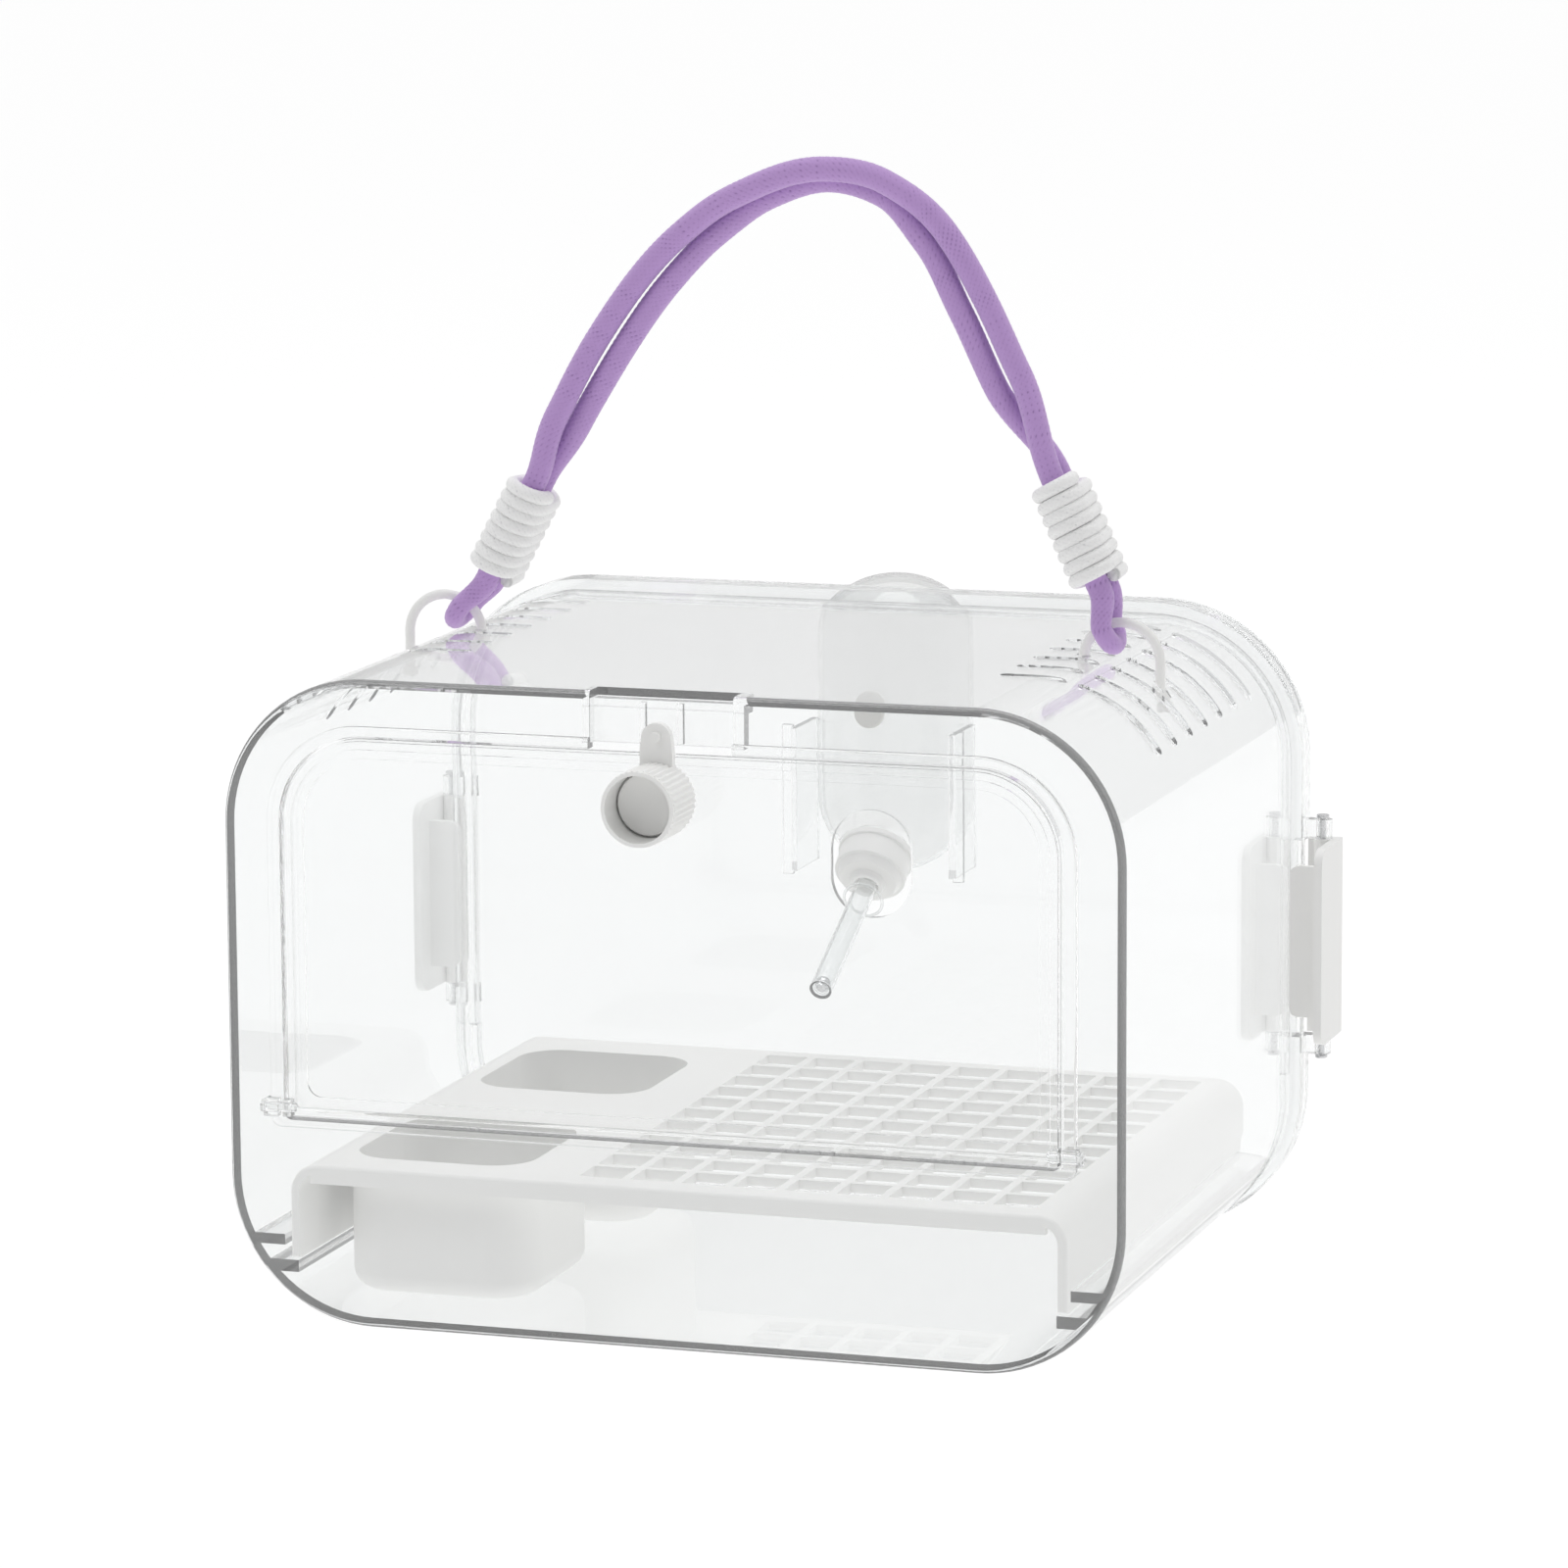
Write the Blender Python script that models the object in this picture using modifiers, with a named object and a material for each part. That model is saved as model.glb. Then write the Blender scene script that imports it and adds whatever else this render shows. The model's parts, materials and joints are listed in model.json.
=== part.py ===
# Clear small-pet travel carrier: a one-piece clear case with a drop-down front
# door, a clipped-on rear lid with a gravity water bottle, a white floor
# platform with two food bowls, and a rope handle on two rings.
#
# Frame: origin on the resting surface, under the middle of the case.
# +X right, +Y towards the rear lid, +Z up.  Metres in Blender; the numbers
# below are millimetres and are scaled once, by MM.
import bpy
import bmesh
import math
from mathutils import Vector, Matrix

MM = 0.001

# ---------------------------------------------------------------- dimensions
CASE_W = 255.0            # outer width of the case
CASE_H = 180.0            # outer height of the case
CASE_FRONT = -95.0        # front face
CASE_REAR = 88.0          # rear edge of the case, where the lid meets it
CASE_R = 41.0             # corner radius of the case outline
WALL = 2.5                # case wall
FLANGE_OUT = 3.0          # how far the rear flange stands out
FLANGE_Y = 83.3           # front face of the rear flange

DOOR_HALF = 110.0         # half width of the door
DOOR_Z0, DOOR_Z1 = 58.0, 163.8
DOOR_TOP_R = 23.4
DOOR_T = 2.0
DOOR_GAP = 0.6
HINGE_Y, HINGE_Z = -97.1, 61.1
HINGE_PIN_D = 2.3
HINGE_BORE_D = 2.9

BEAD_W = 4.0              # raised bead round the door opening
BEAD_OUT = 1.6

RECESS_HALF = 20.3        # finger recess above the door
LATCH_X, LATCH_Z = -0.8, 152.0
KNOB_R = 10.4
KNOB_BACK, KNOB_FRONT = -96.9, -115.0
KNOB_FLOOR = -104.6
KNOB_BORE_R = 9.1
KNOB_RIBS = 40
TONGUE_HALF = 4.6
TONGUE_TOP = 172.8

LID_Y0, LID_Y1 = 88.3, 95.0
LID_PLATE = 2.3
LIP_Y = 83.5              # front edge of the locating lip inside the case
LIP_Z0 = 47.0             # its legs end here, above the platform

CLIP_PIN_X, CLIP_PIN_Y = 134.5, 93.0
CLIP_Z0, CLIP_Z1 = 58.0, 115.0
CLIP_OUT = 139.3
CLIP_T = 2.4
CLIP_FRONT = 72.6
HOOK_Y0, HOOK_Y1 = 80.3, 82.7
HOOK_Z0, HOOK_Z1 = 65.0, 109.0
KNUCKLE_H = 5.5

BOTTLE_Y = 113.9          # axis of the bottle body
BOTTLE_R = 22.9
BOTTLE_C = 118.5          # height of the centre of its round shoulder
BOTTLE_TOP = 184.0
BOTTLE_WALL = 1.3
NECK_ANGLE = math.radians(36.9)     # below the horizontal, towards the front
SPOUT_R = 3.25
SPOUT_BORE = 2.5
SPOUT_TIP = (0.0, 39.7, 73.4)
BALL_R = 2.2

RING_X, RING_Y, RING_Z = 99.4, 3.0, 178.3
RING_R, RING_WIRE = 11.0, 1.4
ROPE_R = 3.5
LOOP_R, LOOP_ROPE_R = 5.7, 2.9

VENT_ROWS = 7
VENT_Y0, VENT_PITCH = -37.5, 16.2
VENT_W = 3.6

TRAY_HALF = 111.0
TRAY_Y0, TRAY_Y1 = -91.6, 87.0
TRAY_TOP = 44.0
TRAY_T = 2.6
TRAY_BOTTOM = 17.6
TRAY_R = 8.0
BOWL_X0, BOWL_X1 = -101.5, -46.0
BOWL_Y = ((-80.0, -22.0), (15.0, 73.0))
BOWL_BOTTOM = 5.8
BOWL_T, BOWL_R = 1.9, 14.0
SEAT_GAP = 0.3            # clearance round the bowls and the grid
GRID_X0, GRID_Y0 = -31.0, -83.5
GRID_NX, GRID_NY = 9, 11
GRID_PX, GRID_PY = 14.7, 15.1
GRID_BAR = 2.5

# ---------------------------------------------------------------- scene setup
for ob in list(bpy.data.objects):
    bpy.data.objects.remove(ob, do_unlink=True)

scene = bpy.context.scene
parts = bpy.data.collections.new("small_pet_carrier")
tools = bpy.data.collections.new("cutters")
scene.collection.children.link(parts)
scene.collection.children.link(tools)


def material(name, colour, rough, metal=0.0, transmission=0.0):
    m = bpy.data.materials.new(name)
    m.use_nodes = True
    p = m.node_tree.nodes["Principled BSDF"]
    p.inputs["Base Color"].default_value = (*colour, 1.0)
    p.inputs["Roughness"].default_value = rough
    p.inputs["Metallic"].default_value = metal
    p.inputs["Transmission Weight"].default_value = transmission
    p.inputs["IOR"].default_value = 1.49
    return m


CLEAR = (0.93, 0.95, 0.95)
WHITE = (0.86, 0.86, 0.85)


def new_object(name, mesh, coll):
    ob = bpy.data.objects.new(name, mesh)
    coll.objects.link(ob)
    return ob


def mesh_from_bm(name, bm):
    me = bpy.data.meshes.new(name)
    bmesh.ops.recalc_face_normals(bm, faces=bm.faces)
    bm.to_mesh(me)
    bm.free()
    return me


def cutter(ob):
    for c in list(ob.users_collection):
        c.objects.unlink(ob)
    tools.objects.link(ob)
    ob.hide_render = True
    ob.display_type = 'WIRE'
    return ob


def boolean(ob, other, op='DIFFERENCE'):
    cutter(other)
    mod = ob.modifiers.new(op.lower() + "_" + other.name, 'BOOLEAN')
    mod.operation = op
    mod.object = other
    mod.solver = 'EXACT'
    return ob


def applied(ob, name=None):
    """The object with its modifiers made real, in a new object."""
    dg = bpy.context.evaluated_depsgraph_get()
    dg.update()
    me = bpy.data.meshes.new_from_object(ob.evaluated_get(dg))
    new = new_object(name or ob.name + "_solid", me, tools)
    new.matrix_world = ob.matrix_world.copy()
    return new


def box_bm(x0, x1, y0, y1, z0, z1):
    bm = bmesh.new()
    bmesh.ops.create_cube(bm, size=1.0)
    for v in bm.verts:
        v.co = Vector((x0 + (v.co.x + 0.5) * (x1 - x0),
                       y0 + (v.co.y + 0.5) * (y1 - y0),
                       z0 + (v.co.z + 0.5) * (z1 - z0))) * MM
    return bm


def bevel_where(bm, axis, test, radius, segments):
    """Round the edges that run along an axis and pass a test on their middle."""
    edges = []
    for e in bm.edges:
        d = (e.verts[1].co - e.verts[0].co)
        if d.length < 1e-9:
            continue
        if abs(d.normalized()[axis]) > 0.999:
            mid = (e.verts[0].co + e.verts[1].co) / 2 / MM
            if test(mid):
                edges.append(e)
    if edges:
        bmesh.ops.bevel(bm, geom=edges, offset=radius * MM, segments=segments,
                        profile=0.5, affect='EDGES', clamp_overlap=False)


def rbox(name, x0, x1, y0, y1, z0, z1, axis=1, top=0.0, bottom=0.0, segments=8,
         coll=None, soft=None):
    """A box whose edges along one axis are rounded: `top` radius on the high
    side of the other upright axis, `bottom` on the low side.  `soft` rounds
    the rim of the face on the low side of the axis."""
    bm = box_bm(x0, x1, y0, y1, z0, z1)
    up = 1 if axis == 2 else 2
    mid = ((x0 + x1) / 2, (y0 + y1) / 2, (z0 + z1) / 2)[up]
    if top:
        bevel_where(bm, axis, lambda m: m[up] > mid, top, segments)
    if bottom:
        bevel_where(bm, axis, lambda m: m[up] < mid, bottom, segments)
    if soft:
        side, radius, seg = soft
        level = (x0, y0, z0)[axis] if side < 0 else (x1, y1, z1)[axis]
        edges = [e for e in bm.edges
                 if all(abs(v.co[axis] / MM - level) < 1e-3 for v in e.verts)]
        bmesh.ops.bevel(bm, geom=edges, offset=radius * MM, segments=seg,
                        profile=0.5, affect='EDGES', clamp_overlap=False)
    return new_object(name, mesh_from_bm(name, bm), coll or tools)


def cyl(name, p0, p1, r, seg=24, coll=None, r2=None):
    """A cylinder or cone between two points."""
    a, b = Vector(p0) * MM, Vector(p1) * MM
    bm = bmesh.new()
    bmesh.ops.create_cone(bm, cap_ends=True, segments=seg, radius1=r * MM,
                          radius2=(r if r2 is None else r2) * MM,
                          depth=(b - a).length)
    rot = (b - a).to_track_quat('Z', 'Y').to_matrix().to_4x4()
    bmesh.ops.transform(bm, matrix=Matrix.Translation((a + b) / 2) @ rot,
                        verts=bm.verts)
    return new_object(name, mesh_from_bm(name, bm), coll or tools)


def outline(name, pts, y0, y1, coll=None):
    """A flat outline in the XZ plane, made solid between two Y positions."""
    bm = bmesh.new()
    face = bm.faces.new([bm.verts.new((x * MM, y0 * MM, z * MM)) for x, z in pts])
    ext = bmesh.ops.extrude_face_region(bm, geom=[face])
    moved = [g for g in ext["geom"] if isinstance(g, bmesh.types.BMVert)]
    bmesh.ops.translate(bm, vec=(0, (y1 - y0) * MM, 0), verts=moved)
    return new_object(name, mesh_from_bm(name, bm), coll or tools)


def turned(name, profile, seg=40, coll=None):
    """A profile of (radius, height) turned about Z with a Screw modifier."""
    me = bpy.data.meshes.new(name + "_profile")
    vs = [(r * MM, 0.0, z * MM) for r, z in profile]
    closed = profile[0][0] > 0
    es = [(i, i + 1) for i in range(len(vs) - 1)]
    if closed:
        es.append((len(vs) - 1, 0))
    me.from_pydata(vs, es, [])
    ob = new_object(name, me, coll or tools)
    mod = ob.modifiers.new("turn", 'SCREW')
    mod.axis = 'Z'
    mod.angle = math.tau
    mod.steps = seg
    mod.render_steps = seg
    mod.use_merge_vertices = True
    mod.merge_threshold = 0.00001
    mod.use_normal_calculate = True
    return ob


def tube(name, pts, radius, radii=None, cyclic=False, res=2, coll=None):
    """A round bar along points, made a closed mesh."""
    cu = bpy.data.curves.new(name + "_path", 'CURVE')
    cu.dimensions = '3D'
    cu.bevel_depth = radius * MM
    cu.bevel_resolution = res
    cu.use_fill_caps = not cyclic
    sp = cu.splines.new('POLY')
    sp.points.add(len(pts) - 1)
    for i, p in enumerate(pts):
        sp.points[i].co = (p[0] * MM, p[1] * MM, p[2] * MM, 1.0)
        sp.points[i].radius = radii[i] if radii else 1.0
    sp.use_cyclic_u = cyclic
    ob = bpy.data.objects.new(name + "_curve", cu)
    tools.objects.link(ob)
    dg = bpy.context.evaluated_depsgraph_get()
    dg.update()
    me = bpy.data.meshes.new_from_object(ob.evaluated_get(dg))
    bm = bmesh.new()
    bm.from_mesh(me)
    bmesh.ops.remove_doubles(bm, verts=bm.verts, dist=0.000001)
    bmesh.ops.recalc_face_normals(bm, faces=bm.faces)
    bm.to_mesh(me)
    bm.free()
    new = new_object(name, me, coll or tools)
    new.matrix_world = ob.matrix_world.copy()
    bpy.data.objects.remove(ob, do_unlink=True)
    return new


def place(ob, mat, smooth=30.0, origin=None):
    """Finish a piece: name its material, shade it, set its origin."""
    for c in list(ob.users_collection):
        c.objects.unlink(ob)
    parts.objects.link(ob)
    ob.hide_render = False
    ob.display_type = 'TEXTURED'
    if ob.type == 'MESH':
        ob.data.materials.clear()
        ob.data.materials.append(mat)
        ob.data.shade_smooth()
        ob.data.set_sharp_from_angle(angle=math.radians(smooth))
    return ob


def joint_empty(name, xyz):
    e = bpy.data.objects.new(name, None)
    e.empty_display_size = 0.01
    e.location = Vector(xyz) * MM
    parts.objects.link(e)
    return e


def ride(ob, empty):
    ob.parent = empty
    ob.matrix_parent_inverse = Matrix.Translation(-empty.location)
    return ob


def arc(cx, cz, r, a0, a1, n):
    return [(cx + r * math.cos(math.radians(a0 + (a1 - a0) * i / n)),
             cz + r * math.sin(math.radians(a0 + (a1 - a0) * i / n)))
            for i in range(n + 1)]


HALF = CASE_W / 2

# ---------------------------------------------------------------- case
case = rbox("case_shell", -HALF, HALF, CASE_FRONT, CASE_REAR, 0, CASE_H,
            top=CASE_R, bottom=CASE_R, segments=7, soft=(-1, 1.6, 2))
flange = rbox("flange", -HALF - FLANGE_OUT, HALF + FLANGE_OUT, FLANGE_Y,
              CASE_REAR, 0, CASE_H + FLANGE_OUT, top=CASE_R + FLANGE_OUT,
              bottom=CASE_R + 1.0, segments=7)
boolean(case, flange, 'UNION')
hollow = rbox("case_hollow", -HALF + WALL, HALF - WALL, CASE_FRONT + WALL,
              CASE_REAR + 20, WALL, CASE_H - WALL, top=CASE_R - WALL,
              bottom=CASE_R - WALL, segments=7)
boolean(case, hollow)

# bead round the door opening, the step behind the finger recess, the rails
bead = rbox("bead", -DOOR_HALF - DOOR_GAP - BEAD_W, DOOR_HALF + DOOR_GAP + BEAD_W,
            CASE_FRONT - BEAD_OUT, CASE_FRONT + 0.5,
            DOOR_Z0 - DOOR_GAP - BEAD_W * 0.55, DOOR_Z1 + DOOR_GAP + BEAD_W * 0.75,
            top=DOOR_TOP_R + DOOR_GAP + 3.4, bottom=3.0, segments=8,
            soft=(-1, 0.6, 1))
boolean(case, bead, 'UNION')
step_a = rbox("recess_wall", LATCH_X - RECESS_HALF - WALL, LATCH_X + RECESS_HALF + WALL,
              CASE_FRONT + 1.6, CASE_FRONT + 6.4, 165.6, CASE_H - 1.5)
boolean(case, step_a, 'UNION')
step_b = rbox("recess_roof", LATCH_X - RECESS_HALF - WALL, LATCH_X + RECESS_HALF + WALL,
              CASE_FRONT + 1.6, CASE_FRONT + 10.0, 174.9, CASE_H - 1.4)
boolean(case, step_b, 'UNION')
for s, tag in ((-1, "left"), (1, "right")):
    x = sorted((s * 112.3, s * 121.8))
    boolean(case, rbox("upper_rail_" + tag, x[0], x[1], CASE_FRONT + 1.2, 78.0,
                       21.3, 24.3), 'UNION')
    x = sorted((s * 108.4, s * 117.0))
    boolean(case, rbox("lower_rail_" + tag, x[0], x[1], CASE_FRONT + 1.2, 78.0,
                       13.8, 17.2), 'UNION')
    x = sorted((s * 111.4, s * 115.4))
    boolean(case, rbox("hinge_lug_" + tag, x[0], x[1], HINGE_Y - 2.4, CASE_FRONT + 0.8,
                       HINGE_Z - 2.4, HINGE_Z + 2.4, axis=0, soft=None), 'UNION')

opening = rbox("door_opening", -DOOR_HALF - DOOR_GAP, DOOR_HALF + DOOR_GAP,
               CASE_FRONT - 10, CASE_FRONT + WALL + 1.0, DOOR_Z0 - DOOR_GAP,
               DOOR_Z1 + DOOR_GAP, top=DOOR_TOP_R + DOOR_GAP, bottom=2.4,
               segments=8)
boolean(case, opening)
boolean(case, rbox("recess", LATCH_X - RECESS_HALF, LATCH_X + RECESS_HALF,
                   CASE_FRONT - 10, CASE_FRONT + 3.9, 160.0, CASE_H + 10))
boolean(case, rbox("recess_top", LATCH_X - RECESS_HALF, LATCH_X + RECESS_HALF,
                   CASE_FRONT - 10, CASE_FRONT + 7.4, CASE_H - 2.5, CASE_H + 10))
for i, (rx0, rx1) in enumerate(((-6.9, -5.3), (3.7, 5.3))):
    boolean(case, rbox("recess_rib_%d" % i, LATCH_X + rx0, LATCH_X + rx1,
                       CASE_FRONT + 2.2, CASE_FRONT + 4.4, 166.2, CASE_H - 2.9),
            'UNION')
boolean(case, cyl("hinge_bores", (-125, HINGE_Y, HINGE_Z), (125, HINGE_Y, HINGE_Z),
                  HINGE_BORE_D / 2, 20))


def capsule(bm, y, x0, x1, z0, z1, width):
    """A round-ended slot cutter across X, cut downwards."""
    r = width / 2
    n = 3
    pts = []
    for i in range(n + 1):
        a = math.radians(-90 + 180 * i / n)
        pts.append((x1 - r + r * math.cos(a), y + r * math.sin(a)))
    for i in range(n + 1):
        a = math.radians(90 + 180 * i / n)
        pts.append((x0 + r + r * math.cos(a), y + r * math.sin(a)))
    face = bm.faces.new([bm.verts.new((px * MM, py * MM, z0 * MM)) for px, py in pts])
    ext = bmesh.ops.extrude_face_region(bm, geom=[face])
    mv = [g for g in ext["geom"] if isinstance(g, bmesh.types.BMVert)]
    bmesh.ops.translate(bm, vec=(0, 0, (z1 - z0) * MM), verts=mv)


# vents: short slots on the flat top, longer ones over the rounded corner
CORNER_X, CORNER_Z = HALF - CASE_R, CASE_H - CASE_R
for s, tag in ((-1, "left"), (1, "right")):
    bm = bmesh.new()
    for k in range(VENT_ROWS):
        y = VENT_Y0 + VENT_PITCH * k
        capsule(bm, y, 76.5 if s > 0 else -94.8, 94.8 if s > 0 else -76.5,
                CASE_H - 12, CASE_H + 6, VENT_W)
    bmesh.ops.recalc_face_normals(bm, faces=bm.faces)
    boolean(case, new_object("top_vents_" + tag, mesh_from_bm("top_vents_" + tag, bm),
                             tools))
    # the long slots: an arc sector through the wall, between two angles
    bm = bmesh.new()
    for k in range(VENT_ROWS):
        y = VENT_Y0 + VENT_PITCH * k
        n = 6
        rows = []
        a0, a1 = 17.0, 59.0
        for i in range(n + 1):
            a = a0 + (a1 - a0) * i / n
            end = min((a - a0), (a1 - a)) / (a1 - a0) * n
            half = VENT_W / 2 * (0.45 if end < 0.3 else 1.0)
            rows.append((math.radians(a), half))
        loops = []
        for a, half in rows:
            loop = []
            for rr, yy in ((CASE_R - 9, -half), (CASE_R - 9, half),
                           (CASE_R + 6, half), (CASE_R + 6, -half)):
                loop.append(bm.verts.new((s * (CORNER_X + rr * math.sin(a)) * MM,
                                          (y + yy) * MM,
                                          (CORNER_Z + rr * math.cos(a)) * MM)))
            loops.append(loop)
        for p, q in zip(loops[:-1], loops[1:]):
            for j in range(4):
                bm.faces.new((p[j], p[(j + 1) % 4], q[(j + 1) % 4], q[j]))
        bm.faces.new(loops[0])
        bm.faces.new(loops[-1])
    boolean(case, new_object("corner_vents_" + tag,
                             mesh_from_bm("corner_vents_" + tag, bm), tools))
    for j, fx in enumerate((RING_X - RING_R, RING_X + RING_R)):
        boolean(case, cyl("ring_hole_%s_%d" % (tag, j), (s * fx, RING_Y, 160),
                          (s * fx, RING_Y, 190), RING_WIRE + 0.4, 16))

clear_case = material("clear_case_plastic", CLEAR, 0.05, transmission=0.9)
place(case, clear_case)

# ---------------------------------------------------------------- front door
door = rbox("front_door", -DOOR_HALF, DOOR_HALF, CASE_FRONT, CASE_FRONT + DOOR_T,
            DOOR_Z0, DOOR_Z1, top=DOOR_TOP_R, bottom=1.8, segments=8)
rim = rbox("door_rim", -DOOR_HALF + 0.5, DOOR_HALF - 0.5, CASE_FRONT - 1.3,
           CASE_FRONT + 0.4, DOOR_Z0 + 0.5, DOOR_Z1 - 0.5, top=DOOR_TOP_R - 0.5,
           bottom=1.4, segments=8)
boolean(door, rim, 'UNION')
rim_in = rbox("door_rim_inner", -DOOR_HALF + 2.7, DOOR_HALF - 2.7, CASE_FRONT - 3,
              CASE_FRONT, DOOR_Z0 + 2.7, DOOR_Z1 - 2.7, top=DOOR_TOP_R - 2.7,
              bottom=1.0, segments=8)
boolean(door, rim_in)
pane = rbox("door_pane_step", -DOOR_HALF + 5.8, DOOR_HALF - 5.8, CASE_FRONT - 3,
            CASE_FRONT + 0.55, DOOR_Z0 + 5.8, DOOR_Z1 - 5.4, top=DOOR_TOP_R - 5.6,
            bottom=4.2, segments=8)
boolean(door, pane)
for s, tag in ((-1, "left"), (1, "right")):
    x = sorted((s * 107.6, s * 110.0))
    boolean(door, rbox("door_ear_" + tag, x[0], x[1], HINGE_Y - 2.0, CASE_FRONT + 0.5,
                       HINGE_Z - 2.3, HINGE_Z + 2.3), 'UNION')
boolean(door, cyl("door_bores", (-125, HINGE_Y, HINGE_Z), (125, HINGE_Y, HINGE_Z),
                  HINGE_BORE_D / 2, 20))
boolean(door, cyl("door_axle_hole", (LATCH_X, -110, LATCH_Z), (LATCH_X, -80, LATCH_Z),
                  2.9, 24))
place(door, material("clear_door_plastic", CLEAR, 0.05, transmission=0.9))
door_axis = joint_empty("door_hinge_axis", (0, HINGE_Y, HINGE_Z))
ride(door, door_axis)

for s, tag in ((-1, "left"), (1, "right")):
    pin = cyl("door_pin_" + tag, (s * 106.9, HINGE_Y, HINGE_Z),
              (s * 116.2, HINGE_Y, HINGE_Z), HINGE_PIN_D / 2, 16)
    head = cyl("door_pin_head_" + tag, (s * 115.8, HINGE_Y, HINGE_Z),
               (s * 116.8, HINGE_Y, HINGE_Z), 1.8, 16)
    boolean(pin, head, 'UNION')
    place(pin, material("clear_pin_" + tag, CLEAR, 0.08, transmission=0.8))

# ---------------------------------------------------------------- latch
n = KNOB_RIBS * 2
pts = []
for i in range(n):
    a = math.tau * i / n
    r = KNOB_R if i % 2 else KNOB_R - 0.5
    pts.append((LATCH_X + r * math.cos(a), LATCH_Z + r * math.sin(a)))
knob = outline("latch_knob", pts, KNOB_BACK, KNOB_FRONT + 0.9)
collar = cyl("knob_collar", (LATCH_X, KNOB_FRONT, LATCH_Z),
             (LATCH_X, KNOB_FRONT + 1.3, LATCH_Z), KNOB_R - 0.25, 32)
boolean(knob, collar, 'UNION')
tip = arc(LATCH_X, TONGUE_TOP - TONGUE_HALF + 0.4, TONGUE_HALF - 0.4, 0, 180, 10)
tongue = outline("tongue", [(LATCH_X + TONGUE_HALF, LATCH_Z), (LATCH_X + TONGUE_HALF, 165.5)]
                 + tip + [(LATCH_X - TONGUE_HALF, 165.5), (LATCH_X - TONGUE_HALF, LATCH_Z)],
                 KNOB_BACK - 0.2, KNOB_BACK - 2.5)
boolean(knob, tongue, 'UNION')
boolean(knob, cyl("tongue_bump", (LATCH_X, KNOB_BACK - 1.0, 169.2),
                  (LATCH_X, KNOB_BACK - 3.7, 169.2), 1.6, 16, r2=1.25), 'UNION')
boolean(knob, cyl("knob_bore", (LATCH_X, KNOB_FRONT - 5, LATCH_Z),
                  (LATCH_X, KNOB_FLOOR, LATCH_Z), KNOB_BORE_R, 32))
boolean(knob, cyl("knob_axle_bore", (LATCH_X, -110, LATCH_Z), (LATCH_X, -90, LATCH_Z),
                  2.7, 24))
place(knob, material("white_latch_plastic", WHITE, 0.42))
latch_axis = joint_empty("latch_axis", (LATCH_X, KNOB_BACK, LATCH_Z))
ride(knob, latch_axis)
axle = cyl("latch_axle", (LATCH_X, KNOB_FLOOR - 1.2, LATCH_Z), (LATCH_X, -90.6, LATCH_Z),
           2.35, 24)
boolean(axle, cyl("axle_head", (LATCH_X, KNOB_FLOOR - 1.7, LATCH_Z),
                  (LATCH_X, KNOB_FLOOR - 0.35, LATCH_Z), 8.4, 28, r2=8.7), 'UNION')
boolean(axle, cyl("axle_collar", (LATCH_X, -92.6, LATCH_Z), (LATCH_X, -90.4, LATCH_Z),
                  4.4, 24), 'UNION')
place(axle, material("white_axle_plastic", WHITE, 0.4))
ride(axle, latch_axis)

# ---------------------------------------------------------------- rear lid
lid = rbox("rear_lid", -HALF - FLANGE_OUT, HALF + FLANGE_OUT, LID_Y0, LID_Y1, 0,
           CASE_H + FLANGE_OUT, top=CASE_R + FLANGE_OUT, bottom=CASE_R + 1.0,
           segments=7, soft=(1, 1.2, 2))
lip = rbox("lid_lip", -HALF + WALL + 0.5, HALF - WALL - 0.5, LIP_Y, LID_Y0 + 0.5,
           LIP_Z0, CASE_H - WALL - 0.5, top=CASE_R - 3.0, segments=7)
lip_hole = rbox("lid_lip_hole", -HALF + WALL + 2.6, HALF - WALL - 2.6, LIP_Y - 3,
                LID_Y0, LIP_Z0 - 5, CASE_H - WALL - 2.6, top=CASE_R - 5.1,
                segments=7)
boolean(lid, lip, 'UNION')
boolean(lid, lip_hole)
tray_cut = rbox("lid_tray", -HALF + 2.8, HALF - 2.8, LID_Y0 + LID_PLATE, LID_Y1 + 5,
                3.0, CASE_H - 2.8, top=CASE_R - 2.8, bottom=CASE_R - 3.2, segments=7)
boolean(lid, tray_cut)
for s, tag in ((-1, "left"), (1, "right")):
    x = sorted((s * 127.2, s * 145))
    boolean(lid, rbox("clip_relief_" + tag, x[0], x[1], LID_Y0 - 1, LID_Y1 + 2,
                      CLIP_Z0 - 0.3, CLIP_Z1 + 0.3))
    for j, z in enumerate((CLIP_Z0 - 0.3 - KNUCKLE_H, CLIP_Z1 + 0.3)):
        x = sorted((s * 126.0, s * CLIP_PIN_X))
        boolean(lid, rbox("knuckle_web_%s_%d" % (tag, j), x[0], x[1],
                          CLIP_PIN_Y - 2.2, CLIP_PIN_Y + 1.9, z, z + KNUCKLE_H), 'UNION')
        boolean(lid, cyl("knuckle_%s_%d" % (tag, j),
                         (s * CLIP_PIN_X, CLIP_PIN_Y, z),
                         (s * CLIP_PIN_X, CLIP_PIN_Y, z + KNUCKLE_H), 2.7, 20), 'UNION')
    boolean(lid, cyl("clip_bore_" + tag, (s * CLIP_PIN_X, CLIP_PIN_Y, 40),
                     (s * CLIP_PIN_X, CLIP_PIN_Y, 130), 1.25, 16))
    x = sorted((s * 23.3, s * 25.2))
    boolean(lid, rbox("bottle_cheek_" + tag, x[0], x[1], LID_Y0 + 1.2, 112.0, 98.0,
                      140.5), 'UNION')
    x = sorted((s * 24.5, s * 27.6))
    boolean(lid, rbox("cheek_foot_" + tag, x[0], x[1], LID_Y0 + 1.2, LID_Y0 + 4.2,
                      97.0, 141.5), 'UNION')
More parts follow.
